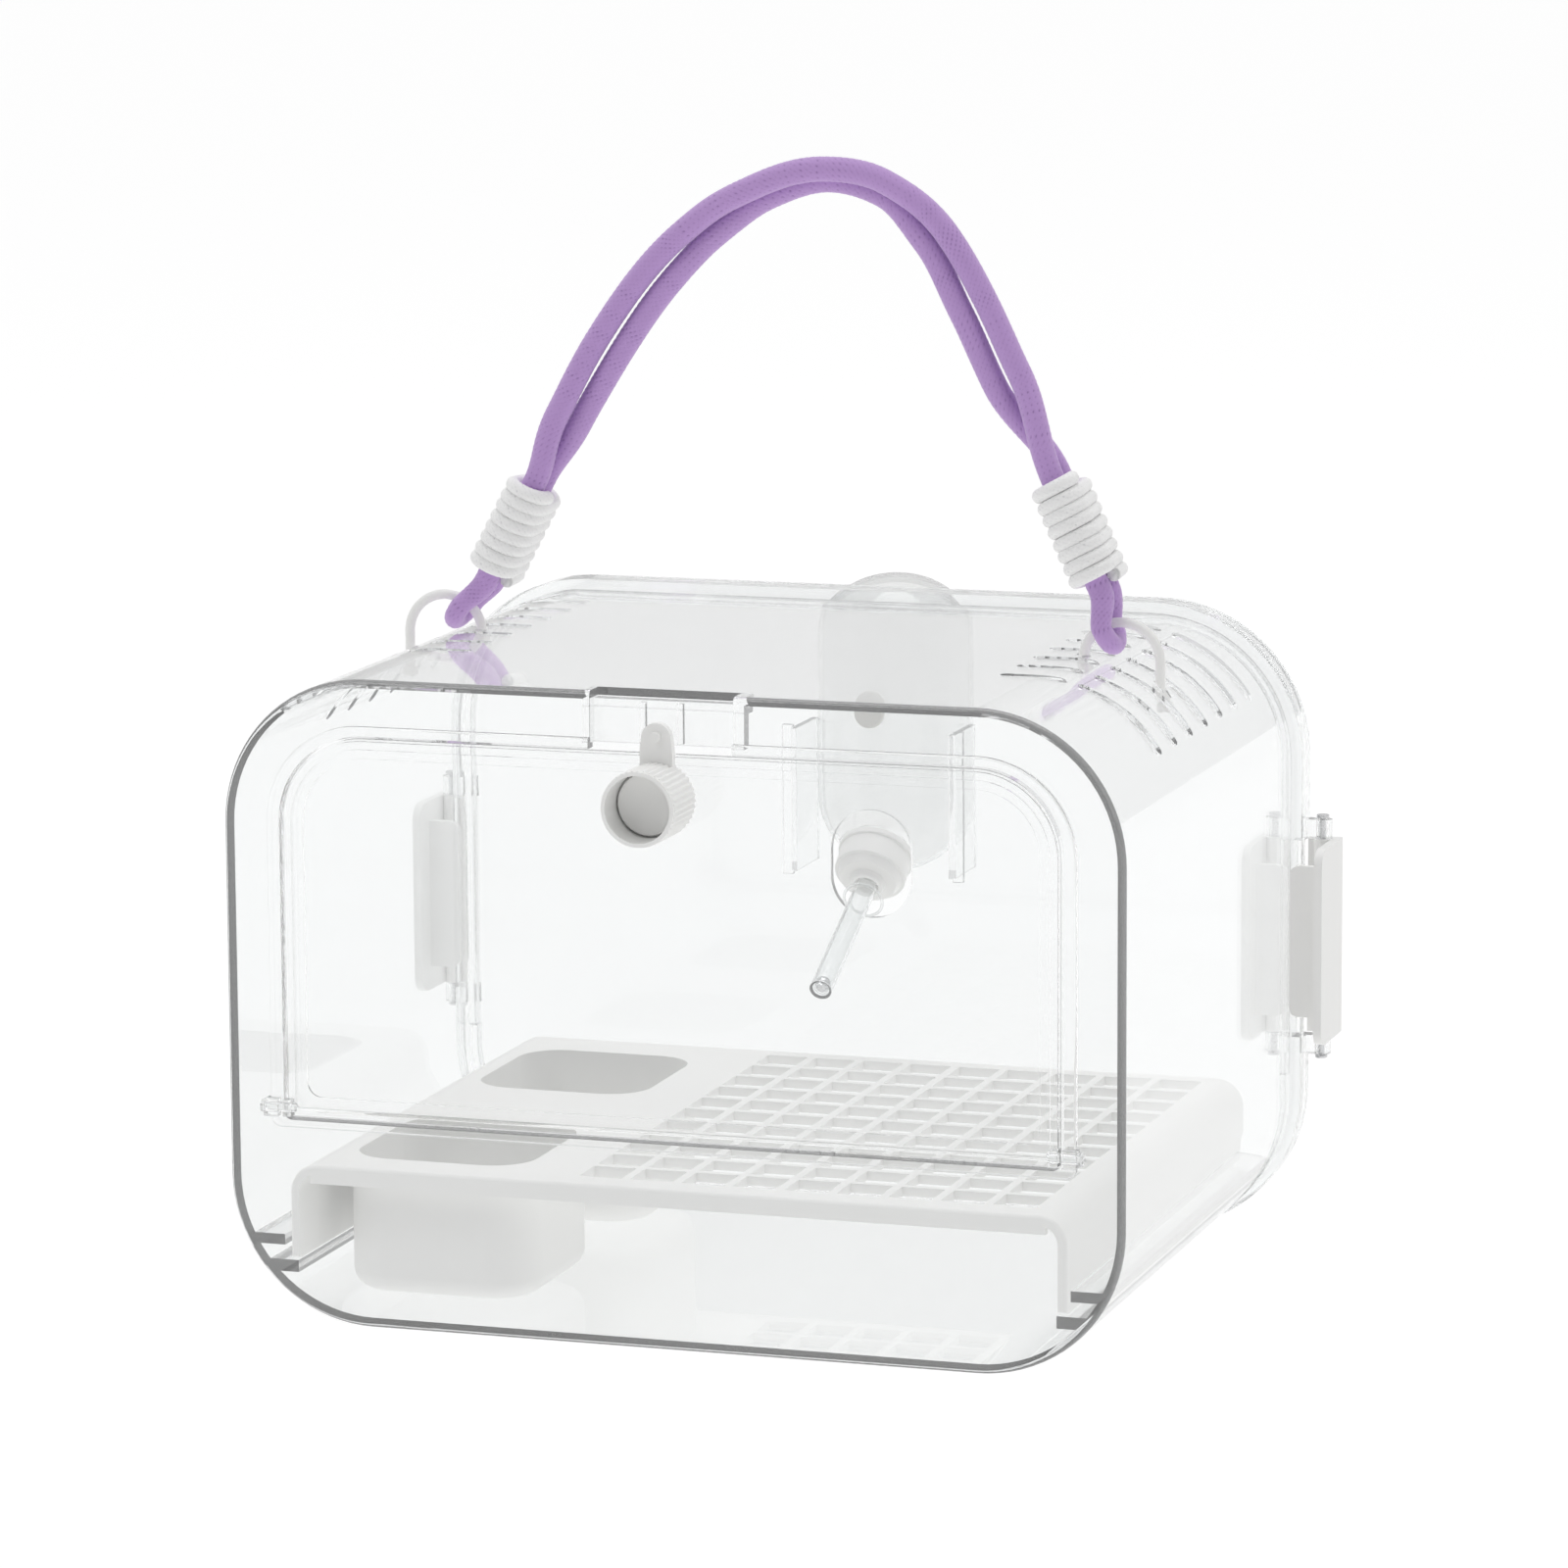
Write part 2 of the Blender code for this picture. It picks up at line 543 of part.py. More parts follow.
boolean(lid, rbox("bottle_port", -12.3, 12.3, LID_Y0 - 3, LID_Y1, 85.5, 117.5,
                  top=12.0, bottom=12.0, segments=6))
boolean(lid, cyl("hook_hole", (0, 80, 146.5), (0, 100, 146.5), 2.4, 20))
place(lid, material("clear_lid_plastic", CLEAR, 0.05, transmission=0.9))
lid_axis = joint_empty("lid_slide", (0, LID_Y0, 90))
ride(lid, lid_axis)

# the button that steadies the bottle against the lid
hook = cyl("bottle_button", (0, LID_Y0 - 0.9, 146.5), (0, LID_Y0 + LID_PLATE + 0.2, 146.5),
           2.0, 20)
boolean(hook, cyl("button_head", (0, LID_Y0 - 2.0, 146.5), (0, LID_Y0 - 0.35, 146.5),
                  4.3, 28, r2=4.6), 'UNION')
place(hook, material("grey_button", (0.72, 0.72, 0.69), 0.5))
ride(hook, lid_axis)

# ---------------------------------------------------------------- clips
for s, tag in ((-1, "left"), (1, "right")):
    x = sorted((s * (CLIP_OUT - CLIP_T), s * CLIP_OUT))
    clip = rbox("clip_" + tag, x[0], x[1], CLIP_FRONT, 97.4, CLIP_Z0, CLIP_Z1)
    bm = bmesh.new()
    bm.from_mesh(clip.data)
    bevel_where(bm, 0, lambda m: m[1] < 80, 5.0, 5)
    clip.data = mesh_from_bm("clip_" + tag, bm)
    x = sorted((s * 127.95, s * (CLIP_OUT - 1.0)))
    hk = rbox("clip_hook_" + tag, x[0], x[1], HOOK_Y0, HOOK_Y1, HOOK_Z0, HOOK_Z1)
    bm = bmesh.new()
    bm.from_mesh(hk.data)
    bevel_where(bm, 1, lambda m: abs(m[0]) < 130, 2.6, 4)
    hk.data = mesh_from_bm("clip_hook_" + tag, bm)
    boolean(clip, hk, 'UNION')
    x = sorted((s * 129.7, s * (CLIP_OUT - 0.8)))
    boolean(clip, rbox("clip_back_" + tag, x[0], x[1], 95.0, 97.4, CLIP_Z0, CLIP_Z1),
            'UNION')
    boolean(clip, cyl("clip_barrel_" + tag, (s * CLIP_PIN_X, CLIP_PIN_Y, CLIP_Z0),
                      (s * CLIP_PIN_X, CLIP_PIN_Y, CLIP_Z1), 2.5, 20), 'UNION')
    boolean(clip, cyl("clip_pin_bore_" + tag, (s * CLIP_PIN_X, CLIP_PIN_Y, 40),
                      (s * CLIP_PIN_X, CLIP_PIN_Y, 130), 1.25, 16))
    place(clip, material("white_clip_plastic_" + tag, WHITE, 0.42))
    ax = joint_empty("clip_axis_" + tag, (s * CLIP_PIN_X, CLIP_PIN_Y, (CLIP_Z0 + CLIP_Z1) / 2))
    ride(clip, ax)
    pin = cyl("clip_pin_" + tag, (s * CLIP_PIN_X, CLIP_PIN_Y, CLIP_Z0 - KNUCKLE_H - 0.9),
              (s * CLIP_PIN_X, CLIP_PIN_Y, CLIP_Z1 + KNUCKLE_H + 0.9), 0.9, 14)
    boolean(pin, cyl("clip_pin_top_" + tag, (s * CLIP_PIN_X, CLIP_PIN_Y, CLIP_Z1 + KNUCKLE_H + 0.65),
                     (s * CLIP_PIN_X, CLIP_PIN_Y, CLIP_Z1 + KNUCKLE_H + 1.6), 1.8, 14), 'UNION')
    boolean(pin, cyl("clip_pin_foot_" + tag, (s * CLIP_PIN_X, CLIP_PIN_Y, CLIP_Z0 - KNUCKLE_H - 1.6),
                     (s * CLIP_PIN_X, CLIP_PIN_Y, CLIP_Z0 - KNUCKLE_H - 0.65), 1.8, 14), 'UNION')
    place(pin, material("steel_pin_" + tag, (0.7, 0.7, 0.7), 0.3, metal=1.0))
    ride(pin, lid_axis)

# ---------------------------------------------------------------- water bottle
AX = Vector((0, -math.cos(NECK_ANGLE), -math.sin(NECK_ANGLE)))
SC = Vector((0, BOTTLE_Y, BOTTLE_C))


def along(d):
    return tuple(SC + AX * d)


def bottle_profile(r, top, cz):
    """From the middle of the domed top, down the side, to the lowest point."""
    dome = 18.0 * r / BOTTLE_R
    p = []
    for i in range(7):
        a = math.radians(90 - 90 * i / 6)
        p.append((r * math.cos(a) if i else 0.0, top - dome + dome * math.sin(a)))
    p.append((r, (top - dome + cz) / 2))
    for i in range(8):
        a = math.radians(-90 * i / 7)
        p.append((r * math.cos(a) if i < 7 else 0.0, cz + r * math.sin(a)))
    return p


bottle = turned("bottle_body_turned", bottle_profile(BOTTLE_R, BOTTLE_TOP, BOTTLE_C), 24)
bottle.location = (0, BOTTLE_Y * MM, 0)
inner = turned("bottle_inner_turned", bottle_profile(BOTTLE_R - BOTTLE_WALL,
               BOTTLE_TOP - BOTTLE_WALL, BOTTLE_C), 24)
inner.location = (0, BOTTLE_Y * MM, 0)
bpy.context.view_layer.update()
bottle_solid = applied(bottle, "bottle_body")
inner_solid = applied(inner, "bottle_inner")
for ob in (bottle, inner):
    bpy.data.objects.remove(ob, do_unlink=True)
boolean(bottle_solid, cyl("bottle_neck", along(19.0), along(31.0), 8.6, 24), 'UNION')
boolean(bottle_solid, inner_solid)
boolean(bottle_solid, cyl("neck_bore", along(14.0), along(34.0), 7.0, 24))
place(bottle_solid, material("clear_bottle_plastic", CLEAR, 0.05, transmission=0.9))
bottle_axis = joint_empty("bottle_slide", along(25.0))
ride(bottle_solid, bottle_axis)

cap = cyl("bottle_cap", along(24.4), along(33.4), 10.6, 28)
boolean(cap, cyl("cap_flange", along(24.4), along(26.4), 11.3, 28), 'UNION')
boolean(cap, cyl("cap_nose", along(33.2), along(35.8), 9.6, 28, r2=8.4), 'UNION')
boolean(cap, cyl("cap_boss", along(35.4), along(38.0), 5.2, 20, r2=4.9), 'UNION')
boolean(cap, cyl("cap_bore", along(20.0), along(33.2), 9.0, 28))
boolean(cap, cyl("cap_tube_bore", along(30.0), along(40.0), SPOUT_R + 0.35, 24))
place(cap, material("white_cap_plastic", WHITE, 0.38))
ride(cap, bottle_axis)

gasket = cyl("bottle_gasket", along(31.35), along(32.85), 8.2, 32)
boolean(gasket, cyl("gasket_hole", along(30.0), along(34.0), SPOUT_R + 0.35, 24))
place(gasket, material("silicone_gasket", (0.8, 0.8, 0.78), 0.6))
ride(gasket, bottle_axis)

tip_v = Vector(SPOUT_TIP)
bend = Vector(along(38.8))
run = (tip_v - bend).normalized()


def spout_path(extra_in, extra_out):
    """Straight through the cap, a soft bend, then straight to the tip."""
    p = [along(29.6 - extra_in), along(33.0), along(36.8)]
    a, b, c = Vector(along(37.6)), bend, bend + run * 1.8
    for i in range(1, 5):
        t = i / 5
        p.append(tuple(a * (1 - t) ** 2 + b * 2 * t * (1 - t) + c * t ** 2))
    p.append(tuple(bend + run * 6.0))
    p.append(tuple(bend + run * 24.0))
    p.append(tuple(tip_v + run * extra_out))
    return p


spout = tube("spout_tube", spout_path(0, 0), SPOUT_R, res=4)
boolean(spout, tube("spout_bore", spout_path(4, -0.9), SPOUT_BORE, res=4))
boolean(spout, cyl("spout_lip_bore", tuple(tip_v - run * 4), tuple(tip_v + run * 3), 1.95, 20))
place(spout, material("clear_spout_plastic", CLEAR, 0.05, transmission=0.9))
ride(spout, bottle_axis)

ball_c = tip_v - run * (0.9 + 1.55)
bm = bmesh.new()
bmesh.ops.create_uvsphere(bm, u_segments=14, v_segments=8, radius=BALL_R * MM)
bmesh.ops.translate(bm, vec=ball_c * MM, verts=bm.verts)
ball = new_object("spout_ball", mesh_from_bm("spout_ball", bm), tools)
place(ball, material("steel_ball", (0.75, 0.75, 0.76), 0.15, metal=1.0))
ball_axis = joint_empty("ball_slide", tuple(ball_c))
ride(ball, ball_axis)

RG = bend + run * 2.5 + Vector((0, 0, -1.9))
ring_pts = []
for i in range(20):
    a = math.tau * i / 20
    up = Vector((0, run.z, -run.y)).normalized()
    if up.z < 0:
        up = -up
    ring_pts.append(tuple(RG + Vector((1, 0, 0)) * 5.75 * math.cos(a)
                          + up * 5.75 * math.sin(a)))
sring = tube("spout_ring", ring_pts, 0.45, cyclic=True, res=2)
place(sring, material("clear_ring", (0.8, 0.8, 0.8), 0.2, transmission=0.5))
ride(sring, bottle_axis)

# ---------------------------------------------------------------- handle rings
for s, tag in ((-1, "left"), (1, "right")):
    p = [(s * (RING_X - RING_R), RING_Y, 174.4), (s * (RING_X - RING_R), RING_Y, 176.6)]
    for i in range(13):
        a = math.radians(180 - 180 * i / 12)
        p.append((s * (RING_X + RING_R * math.cos(a)), RING_Y,
                  RING_Z + RING_R * math.sin(a)))
    p += [(s * (RING_X + RING_R), RING_Y, 172.0), (s * (RING_X + RING_R), RING_Y, 164.4)]
    ring = tube("ring_" + tag, p, RING_WIRE, res=2)
    boolean(ring, cyl("ring_foot_in_" + tag, (s * (RING_X - RING_R), RING_Y, 174.0),
                      (s * (RING_X - RING_R), RING_Y, 176.4), 2.2, 16), 'UNION')
    boolean(ring, cyl("ring_foot_out_" + tag, (s * (RING_X + RING_R), RING_Y, 163.8),
                      (s * (RING_X + RING_R), RING_Y, 166.2), 2.2, 16), 'UNION')
    place(ring, material("white_ring_plastic_" + tag, WHITE, 0.4))

# ---------------------------------------------------------------- rope handle
# Centre line of the doubled rope in the XZ plane, from the left ring to the
# right ring.
WL = (-92.7, RING_Z + math.sqrt(RING_R ** 2 - (RING_X - 92.7) ** 2))
WR = (95.0, RING_Z + math.sqrt(RING_R ** 2 - (RING_X - 95.0) ** 2))
WHIP_L = ((-85.5, 194.4), (-70.4, 223.2))
WHIP_R = ((94.3, 198.4), (80.4, 229.4))
GUIDE = [WL, WHIP_L[0], WHIP_L[1], (-61.4, 241.0), (-49.0, 262.0), (-35.0, 281.0),
         (-20.0, 295.5), (-4.0, 305.5), (13.5, 310.6), (31.5, 307.0), (46.0, 294.0),
         (57.0, 275.0), (66.5, 255.5), WHIP_R[1], WHIP_R[0], WR]


def spline_at(points, u):
    """Catmull-Rom through the points, with straight runs inside the whippings."""
    i = min(int(u), len(points) - 2)
    t = u - i
    p1, p2 = Vector(points[i]), Vector(points[i + 1])
    p0 = Vector(points[i - 1]) if i > 0 else p1 * 2 - p2
    p3 = Vector(points[i + 2]) if i + 2 < len(points) else p2 * 2 - p1
    if i in (1, len(points) - 3):
        return p1.lerp(p2, t)
    m1 = (p2 - p1) if i - 1 in (1, len(points) - 3) else (p2 - p0) * 0.5
    m2 = (p2 - p1) if i + 1 in (1, len(points) - 3) else (p3 - p1) * 0.5
    if i - 1 in (1, len(points) - 3):
        m1 = (p1 - p0).normalized() * (p2 - p1).length
    if i + 1 in (1, len(points) - 3):
        m2 = (p3 - p2).normalized() * (p2 - p1).length
    t2, t3 = t * t, t * t * t
    return (p1 * (2 * t3 - 3 * t2 + 1) + m1 * (t3 - 2 * t2 + t)
            + p2 * (-2 * t3 + 3 * t2) + m2 * (t3 - t2))


# how the pair of strands turns about the centre line: 0 is side by side in the
# plane of the arch, 90 is one in front of the other
TURN = [90, 90, 90, 42, 22, 22, 38, 58, 62, 50, 18, 4, 12, 90, 90, 90]
SPREAD = [LOOP_R, 3.72, 3.72, 3.85, 3.85, 3.8, 3.75, 3.72, 3.72, 3.72, 3.8, 4.0, 4.3,
          3.72, 3.72, LOOP_R]
SIZE = [LOOP_ROPE_R, 3.4, 3.4, ROPE_R, ROPE_R, ROPE_R, ROPE_R, ROPE_R, ROPE_R, ROPE_R,
        ROPE_R, ROPE_R, ROPE_R, 3.4, 3.4, LOOP_ROPE_R]


def ease(table, u):
    i = min(int(u), len(table) - 2)
    t = u - i
    t = t * t * (3 - 2 * t)
    return table[i] * (1 - t) + table[i + 1] * t


def strand(side, steps_per=5):
    out = []
    total = (len(GUIDE) - 1) * steps_per
    for k in range(total + 1):
        u = k / steps_per
        c = spline_at(GUIDE, u)
        d = (spline_at(GUIDE, min(u + 0.02, len(GUIDE) - 1)) -
             spline_at(GUIDE, max(u - 0.02, 0))).normalized()
        nrm = Vector((-d.y, d.x))
        a = math.radians(ease(TURN, u))
        sp = ease(SPREAD, u) * side
        out.append(((c.x + nrm.x * math.cos(a) * sp, RING_Y - math.sin(a) * sp,
                     c.y + nrm.y * math.cos(a) * sp), ease(SIZE, u)))
    return out


def loop_end(w, ring_x, side_from):
    """Half a turn of rope under the ring, from one strand to the other."""
    t = Vector((ring_x - w[0], RING_Z - w[1])).normalized()
    out = []
    for i in range(1, 8):
        a = math.pi * i / 8
        off = t * (LOOP_R * math.sin(a))
        out.append(((w[0] + off.x, RING_Y - side_from * LOOP_R * math.cos(a),
                     w[1] + off.y), LOOP_ROPE_R))
    return out


front = strand(1)
back = strand(-1)
rope_pts = front + loop_end(WR, RING_X, 1) + back[::-1] + loop_end(WL, -RING_X, -1)
rope = tube("handle_rope", [p for p, r in rope_pts], 1.0,
            radii=[r for p, r in rope_pts], cyclic=True, res=2)
place(rope, material("lilac_rope", (0.47, 0.31, 0.62), 0.85))
handle_axis = joint_empty("handle_swing", (0, RING_Y, (WL[1] + WR[1]) / 2))
ride(rope, handle_axis)

for tag, (a, b) in (("left", WHIP_L), ("right", WHIP_R)):
    va, vb = Vector((a[0], 0, a[1])), Vector((b[0], 0, b[1]))
    axis = (vb - va).normalized()
    mid = (va + vb) / 2
    half = (vb - va).length / 2 - 0.6
    x_dir = Vector((0, 1, 0)).cross(axis)

    def stadium(name, r, offset, hz, soft=0.0, n=8):
        """A bar of stadium section, long way across Y, along the rope."""
        pts = [(r * math.cos(t), offset + r * math.sin(t))
               for t in [math.pi * i / n for i in range(n + 1)]]
        pts += [(-x, -y) for x, y in pts]
        bm = bmesh.new()
        face = bm.faces.new([bm.verts.new((x * MM, y * MM, -hz * MM)) for x, y in pts])
        ext = bmesh.ops.extrude_face_region(bm, geom=[face])
        mv = [g for g in ext["geom"] if isinstance(g, bmesh.types.BMVert)]
        bmesh.ops.translate(bm, vec=(0, 0, 2 * hz * MM), verts=mv)
        if soft:
            edges = [e for e in bm.edges
                     if abs(e.verts[0].co.z - e.verts[1].co.z) < 1e-7]
            bmesh.ops.bevel(bm, geom=edges, offset=soft * MM, segments=2,
                            profile=0.5, affect='EDGES')
        rot = Matrix((x_dir, Vector((0, 1, 0)), axis)).transposed().to_4x4()
        pos = Matrix.Translation(Vector((mid.x, RING_Y, mid.z)) * MM)
        bmesh.ops.transform(bm, matrix=pos @ rot, verts=bm.verts)
        return new_object(name, mesh_from_bm(name, bm), tools)

    whip = stadium("whipping_" + tag, 7.2, 3.7, half, soft=1.2)
    boolean(whip, stadium("whipping_hole_" + tag, 3.75, 3.72, half + 3))
    place(whip, material("white_whipping_" + tag, (0.88, 0.88, 0.87), 0.85))
    ride(whip, handle_axis)

# ---------------------------------------------------------------- floor platform
tray = rbox("floor_platform", -TRAY_HALF, TRAY_HALF, TRAY_Y0, TRAY_Y1, TRAY_BOTTOM,
            TRAY_TOP, top=TRAY_R, segments=5, soft=(-1, 1.2, 2))
boolean(tray, rbox("platform_under", -TRAY_HALF + TRAY_T, TRAY_HALF - TRAY_T,
                   TRAY_Y0 - 5, TRAY_Y1 + 5, TRAY_BOTTOM - 10, TRAY_TOP - TRAY_T,
                   top=TRAY_R - TRAY_T, segments=5))
boolean(tray, rbox("platform_lip", -TRAY_HALF + 6, TRAY_HALF - 6, TRAY_Y0 + 0.15,
                   TRAY_Y0 + 2.6, TRAY_TOP - 5.2, TRAY_TOP - 1.8), 'UNION')
tray_plastic = material("white_platform_plastic", WHITE, 0.45)
inserts = []


def bowl_block(name, grow, y0, y1, z0, z1, foot):
    """A block with rounded upright corners and a rounded foot."""
    bm = box_bm(BOWL_X0 - grow, BOWL_X1 + grow, y0 - grow, y1 + grow, z0, z1)
    bevel_where(bm, 2, lambda m: True, BOWL_R + grow, 4)
    if foot:
        edges = [e for e in bm.edges
                 if all(abs(v.co.z / MM - z0) < 1e-3 for v in e.verts)]
        bmesh.ops.bevel(bm, geom=edges, offset=foot * MM, segments=2, profile=0.5,
                        affect='EDGES', clamp_overlap=False)
    return new_object(name, mesh_from_bm(name, bm), tools)


# the bowls and the grid sit in openings of the platform, flush with its top
for tag, (by0, by1) in zip(("front", "rear"), BOWL_Y):
    boolean(tray, bowl_block("bowl_seat_" + tag, SEAT_GAP, by0, by1, TRAY_TOP - 8,
                             TRAY_TOP + 8, 0))
    bowl = bowl_block("food_bowl_" + tag, 0.0, by0, by1, BOWL_BOTTOM, TRAY_TOP, 5.5)
    boolean(bowl, bowl_block("bowl_hollow_" + tag, -BOWL_T, by0, by1,
                             BOWL_BOTTOM + BOWL_T, TRAY_TOP + 8, 5.5 - BOWL_T))
    inserts.append(place(bowl, tray_plastic))

gx1, gy1 = GRID_X0 + GRID_PX * GRID_NX, GRID_Y0 + GRID_PY * GRID_NY
boolean(tray, rbox("grid_seat", GRID_X0 - SEAT_GAP, gx1 + SEAT_GAP, GRID_Y0 - SEAT_GAP,
                   gy1 + SEAT_GAP, TRAY_TOP - 8, TRAY_TOP + 8))
grid = rbox("platform_grid", GRID_X0, gx1, GRID_Y0, gy1, TRAY_TOP - TRAY_T, TRAY_TOP)
bm = bmesh.new()
for i in range(GRID_NX):
    for j in range(GRID_NY):
        x0 = GRID_X0 + GRID_PX * i + GRID_BAR / 2
        y0 = GRID_Y0 + GRID_PY * j + GRID_BAR / 2
        c = bmesh.ops.create_cube(bm, size=1.0)
        for v in c["verts"]:
            v.co = Vector((x0 + (v.co.x + 0.5) * (GRID_PX - GRID_BAR),
                           y0 + (v.co.y + 0.5) * (GRID_PY - GRID_BAR),
                           TRAY_TOP - 6 + (v.co.z + 0.5) * 10)) * MM
boolean(grid, new_object("grid_holes", mesh_from_bm("grid_holes", bm), tools))
inserts.append(place(grid, tray_plastic))
place(tray, tray_plastic)
tray_axis = joint_empty("platform_lift", (0, 0, TRAY_BOTTOM))
for piece in [tray] + inserts:
    ride(piece, tray_axis)
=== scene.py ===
# The looks of a clear small-pet travel carrier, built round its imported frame.
import json
import math

import bpy
import bmesh
from mathutils import Vector, Matrix

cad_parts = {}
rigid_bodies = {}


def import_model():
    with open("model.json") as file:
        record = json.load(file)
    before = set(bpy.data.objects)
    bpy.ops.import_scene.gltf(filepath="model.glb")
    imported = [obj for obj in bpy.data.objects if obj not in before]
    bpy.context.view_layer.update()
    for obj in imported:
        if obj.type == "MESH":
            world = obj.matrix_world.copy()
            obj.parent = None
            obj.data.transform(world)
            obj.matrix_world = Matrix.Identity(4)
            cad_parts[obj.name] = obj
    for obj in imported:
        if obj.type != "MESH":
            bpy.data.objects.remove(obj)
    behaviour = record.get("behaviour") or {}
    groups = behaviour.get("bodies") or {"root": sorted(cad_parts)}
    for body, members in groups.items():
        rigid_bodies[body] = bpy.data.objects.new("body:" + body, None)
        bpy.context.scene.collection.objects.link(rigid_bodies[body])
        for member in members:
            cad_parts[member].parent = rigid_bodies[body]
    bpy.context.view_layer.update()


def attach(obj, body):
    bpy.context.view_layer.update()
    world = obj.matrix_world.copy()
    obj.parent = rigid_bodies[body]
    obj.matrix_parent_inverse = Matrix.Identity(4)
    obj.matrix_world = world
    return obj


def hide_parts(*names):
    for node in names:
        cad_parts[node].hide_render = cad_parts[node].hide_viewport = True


for ob in list(bpy.data.objects):
    bpy.data.objects.remove(ob, do_unlink=True)

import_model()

MM = 0.001
# ---------------------------------------------------------------- dimensions
CASE_W = 255.0            # outer width of the case
CASE_H = 180.0            # outer height of the case
CASE_FRONT = -95.0        # front face
CASE_REAR = 88.0          # rear edge of the case, where the lid meets it
CASE_R = 41.0             # corner radius of the case outline
WALL = 2.5                # case wall
FLANGE_OUT = 3.0          # how far the rear flange stands out
FLANGE_Y = 83.3           # front face of the rear flange

DOOR_HALF = 110.0         # half width of the door
DOOR_Z0, DOOR_Z1 = 58.0, 163.8
DOOR_TOP_R = 23.4
DOOR_T = 2.0
DOOR_GAP = 0.6
HINGE_Y, HINGE_Z = -97.1, 61.1
HINGE_PIN_D = 2.3
HINGE_BORE_D = 2.9

BEAD_W = 4.0              # raised bead round the door opening
BEAD_OUT = 1.6

RECESS_HALF = 20.3        # finger recess above the door
LATCH_X, LATCH_Z = -0.8, 152.0
KNOB_R = 10.4
KNOB_BACK, KNOB_FRONT = -96.9, -115.0
KNOB_FLOOR = -104.6
KNOB_BORE_R = 9.1
KNOB_RIBS = 40
TONGUE_HALF = 4.6
TONGUE_TOP = 172.8

LID_Y0, LID_Y1 = 88.3, 95.0
LID_PLATE = 2.3
LIP_Y = 83.5              # front edge of the locating lip inside the case
LIP_Z0 = 47.0             # its legs end here, above the platform

CLIP_PIN_X, CLIP_PIN_Y = 134.5, 93.0
CLIP_Z0, CLIP_Z1 = 58.0, 115.0
CLIP_OUT = 139.3
CLIP_T = 2.4
CLIP_FRONT = 72.6
HOOK_Y0, HOOK_Y1 = 80.3, 82.7
HOOK_Z0, HOOK_Z1 = 65.0, 109.0
KNUCKLE_H = 5.5

BOTTLE_Y = 113.9          # axis of the bottle body
BOTTLE_R = 22.9
BOTTLE_C = 118.5          # height of the centre of its round shoulder
BOTTLE_TOP = 184.0
BOTTLE_WALL = 1.3
NECK_ANGLE = math.radians(36.9)     # below the horizontal, towards the front
SPOUT_R = 3.25
SPOUT_BORE = 2.5
SPOUT_TIP = (0.0, 39.7, 73.4)
BALL_R = 2.2

RING_X, RING_Y, RING_Z = 99.4, 3.0, 178.3
RING_R, RING_WIRE = 11.0, 1.4
ROPE_R = 3.5
LOOP_R, LOOP_ROPE_R = 5.7, 2.9

VENT_ROWS = 7
VENT_Y0, VENT_PITCH = -37.5, 16.2
VENT_W = 3.6

TRAY_HALF = 111.0
TRAY_Y0, TRAY_Y1 = -91.6, 87.0
TRAY_TOP = 44.0
TRAY_T = 2.6
TRAY_BOTTOM = 17.6
TRAY_R = 8.0
BOWL_X0, BOWL_X1 = -101.5, -46.0
BOWL_Y = ((-80.0, -22.0), (15.0, 73.0))
BOWL_BOTTOM = 5.8
GRID_X0, GRID_Y0 = -31.0, -83.5
GRID_NX, GRID_NY = 9, 11
GRID_PX, GRID_PY = 14.7, 15.1
GRID_BAR = 2.5
scene = bpy.context.scene
parts = bpy.data.collections.new("looks")
tools = bpy.data.collections.new("shaping")
scene.collection.children.link(parts)
scene.collection.children.link(tools)

def new_object(name, mesh, coll):
    ob = bpy.data.objects.new(name, mesh)
    coll.objects.link(ob)
    return ob


def mesh_from_bm(name, bm):
    me = bpy.data.meshes.new(name)
    bmesh.ops.recalc_face_normals(bm, faces=bm.faces)
    bm.to_mesh(me)
    bm.free()
    return me


def cutter(ob):
    for c in list(ob.users_collection):
        c.objects.unlink(ob)
    tools.objects.link(ob)
    ob.hide_render = True
    ob.display_type = 'WIRE'
    return ob


def boolean(ob, other, op='DIFFERENCE'):
    cutter(other)
    mod = ob.modifiers.new(op.lower() + "_" + other.name, 'BOOLEAN')
    mod.operation = op
    mod.object = other
    mod.solver = 'EXACT'
    return ob


def applied(ob, name=None):
    """The object with its modifiers made real, in a new object."""
    dg = bpy.context.evaluated_depsgraph_get()
    dg.update()
    me = bpy.data.meshes.new_from_object(ob.evaluated_get(dg))
    new = new_object(name or ob.name + "_solid", me, tools)
    new.matrix_world = ob.matrix_world.copy()
    return new


def box_bm(x0, x1, y0, y1, z0, z1):
    bm = bmesh.new()
    bmesh.ops.create_cube(bm, size=1.0)
    for v in bm.verts:
        v.co = Vector((x0 + (v.co.x + 0.5) * (x1 - x0),
                       y0 + (v.co.y + 0.5) * (y1 - y0),
                       z0 + (v.co.z + 0.5) * (z1 - z0))) * MM
    return bm


def bevel_where(bm, axis, test, radius, segments):
    """Round the edges that run along an axis and pass a test on their middle."""
    edges = []
    for e in bm.edges:
        d = (e.verts[1].co - e.verts[0].co)
        if d.length < 1e-9:
            continue
        if abs(d.normalized()[axis]) > 0.999:
            mid = (e.verts[0].co + e.verts[1].co) / 2 / MM
            if test(mid):
                edges.append(e)
    if edges:
        bmesh.ops.bevel(bm, geom=edges, offset=radius * MM, segments=segments,
                        profile=0.5, affect='EDGES', clamp_overlap=False)


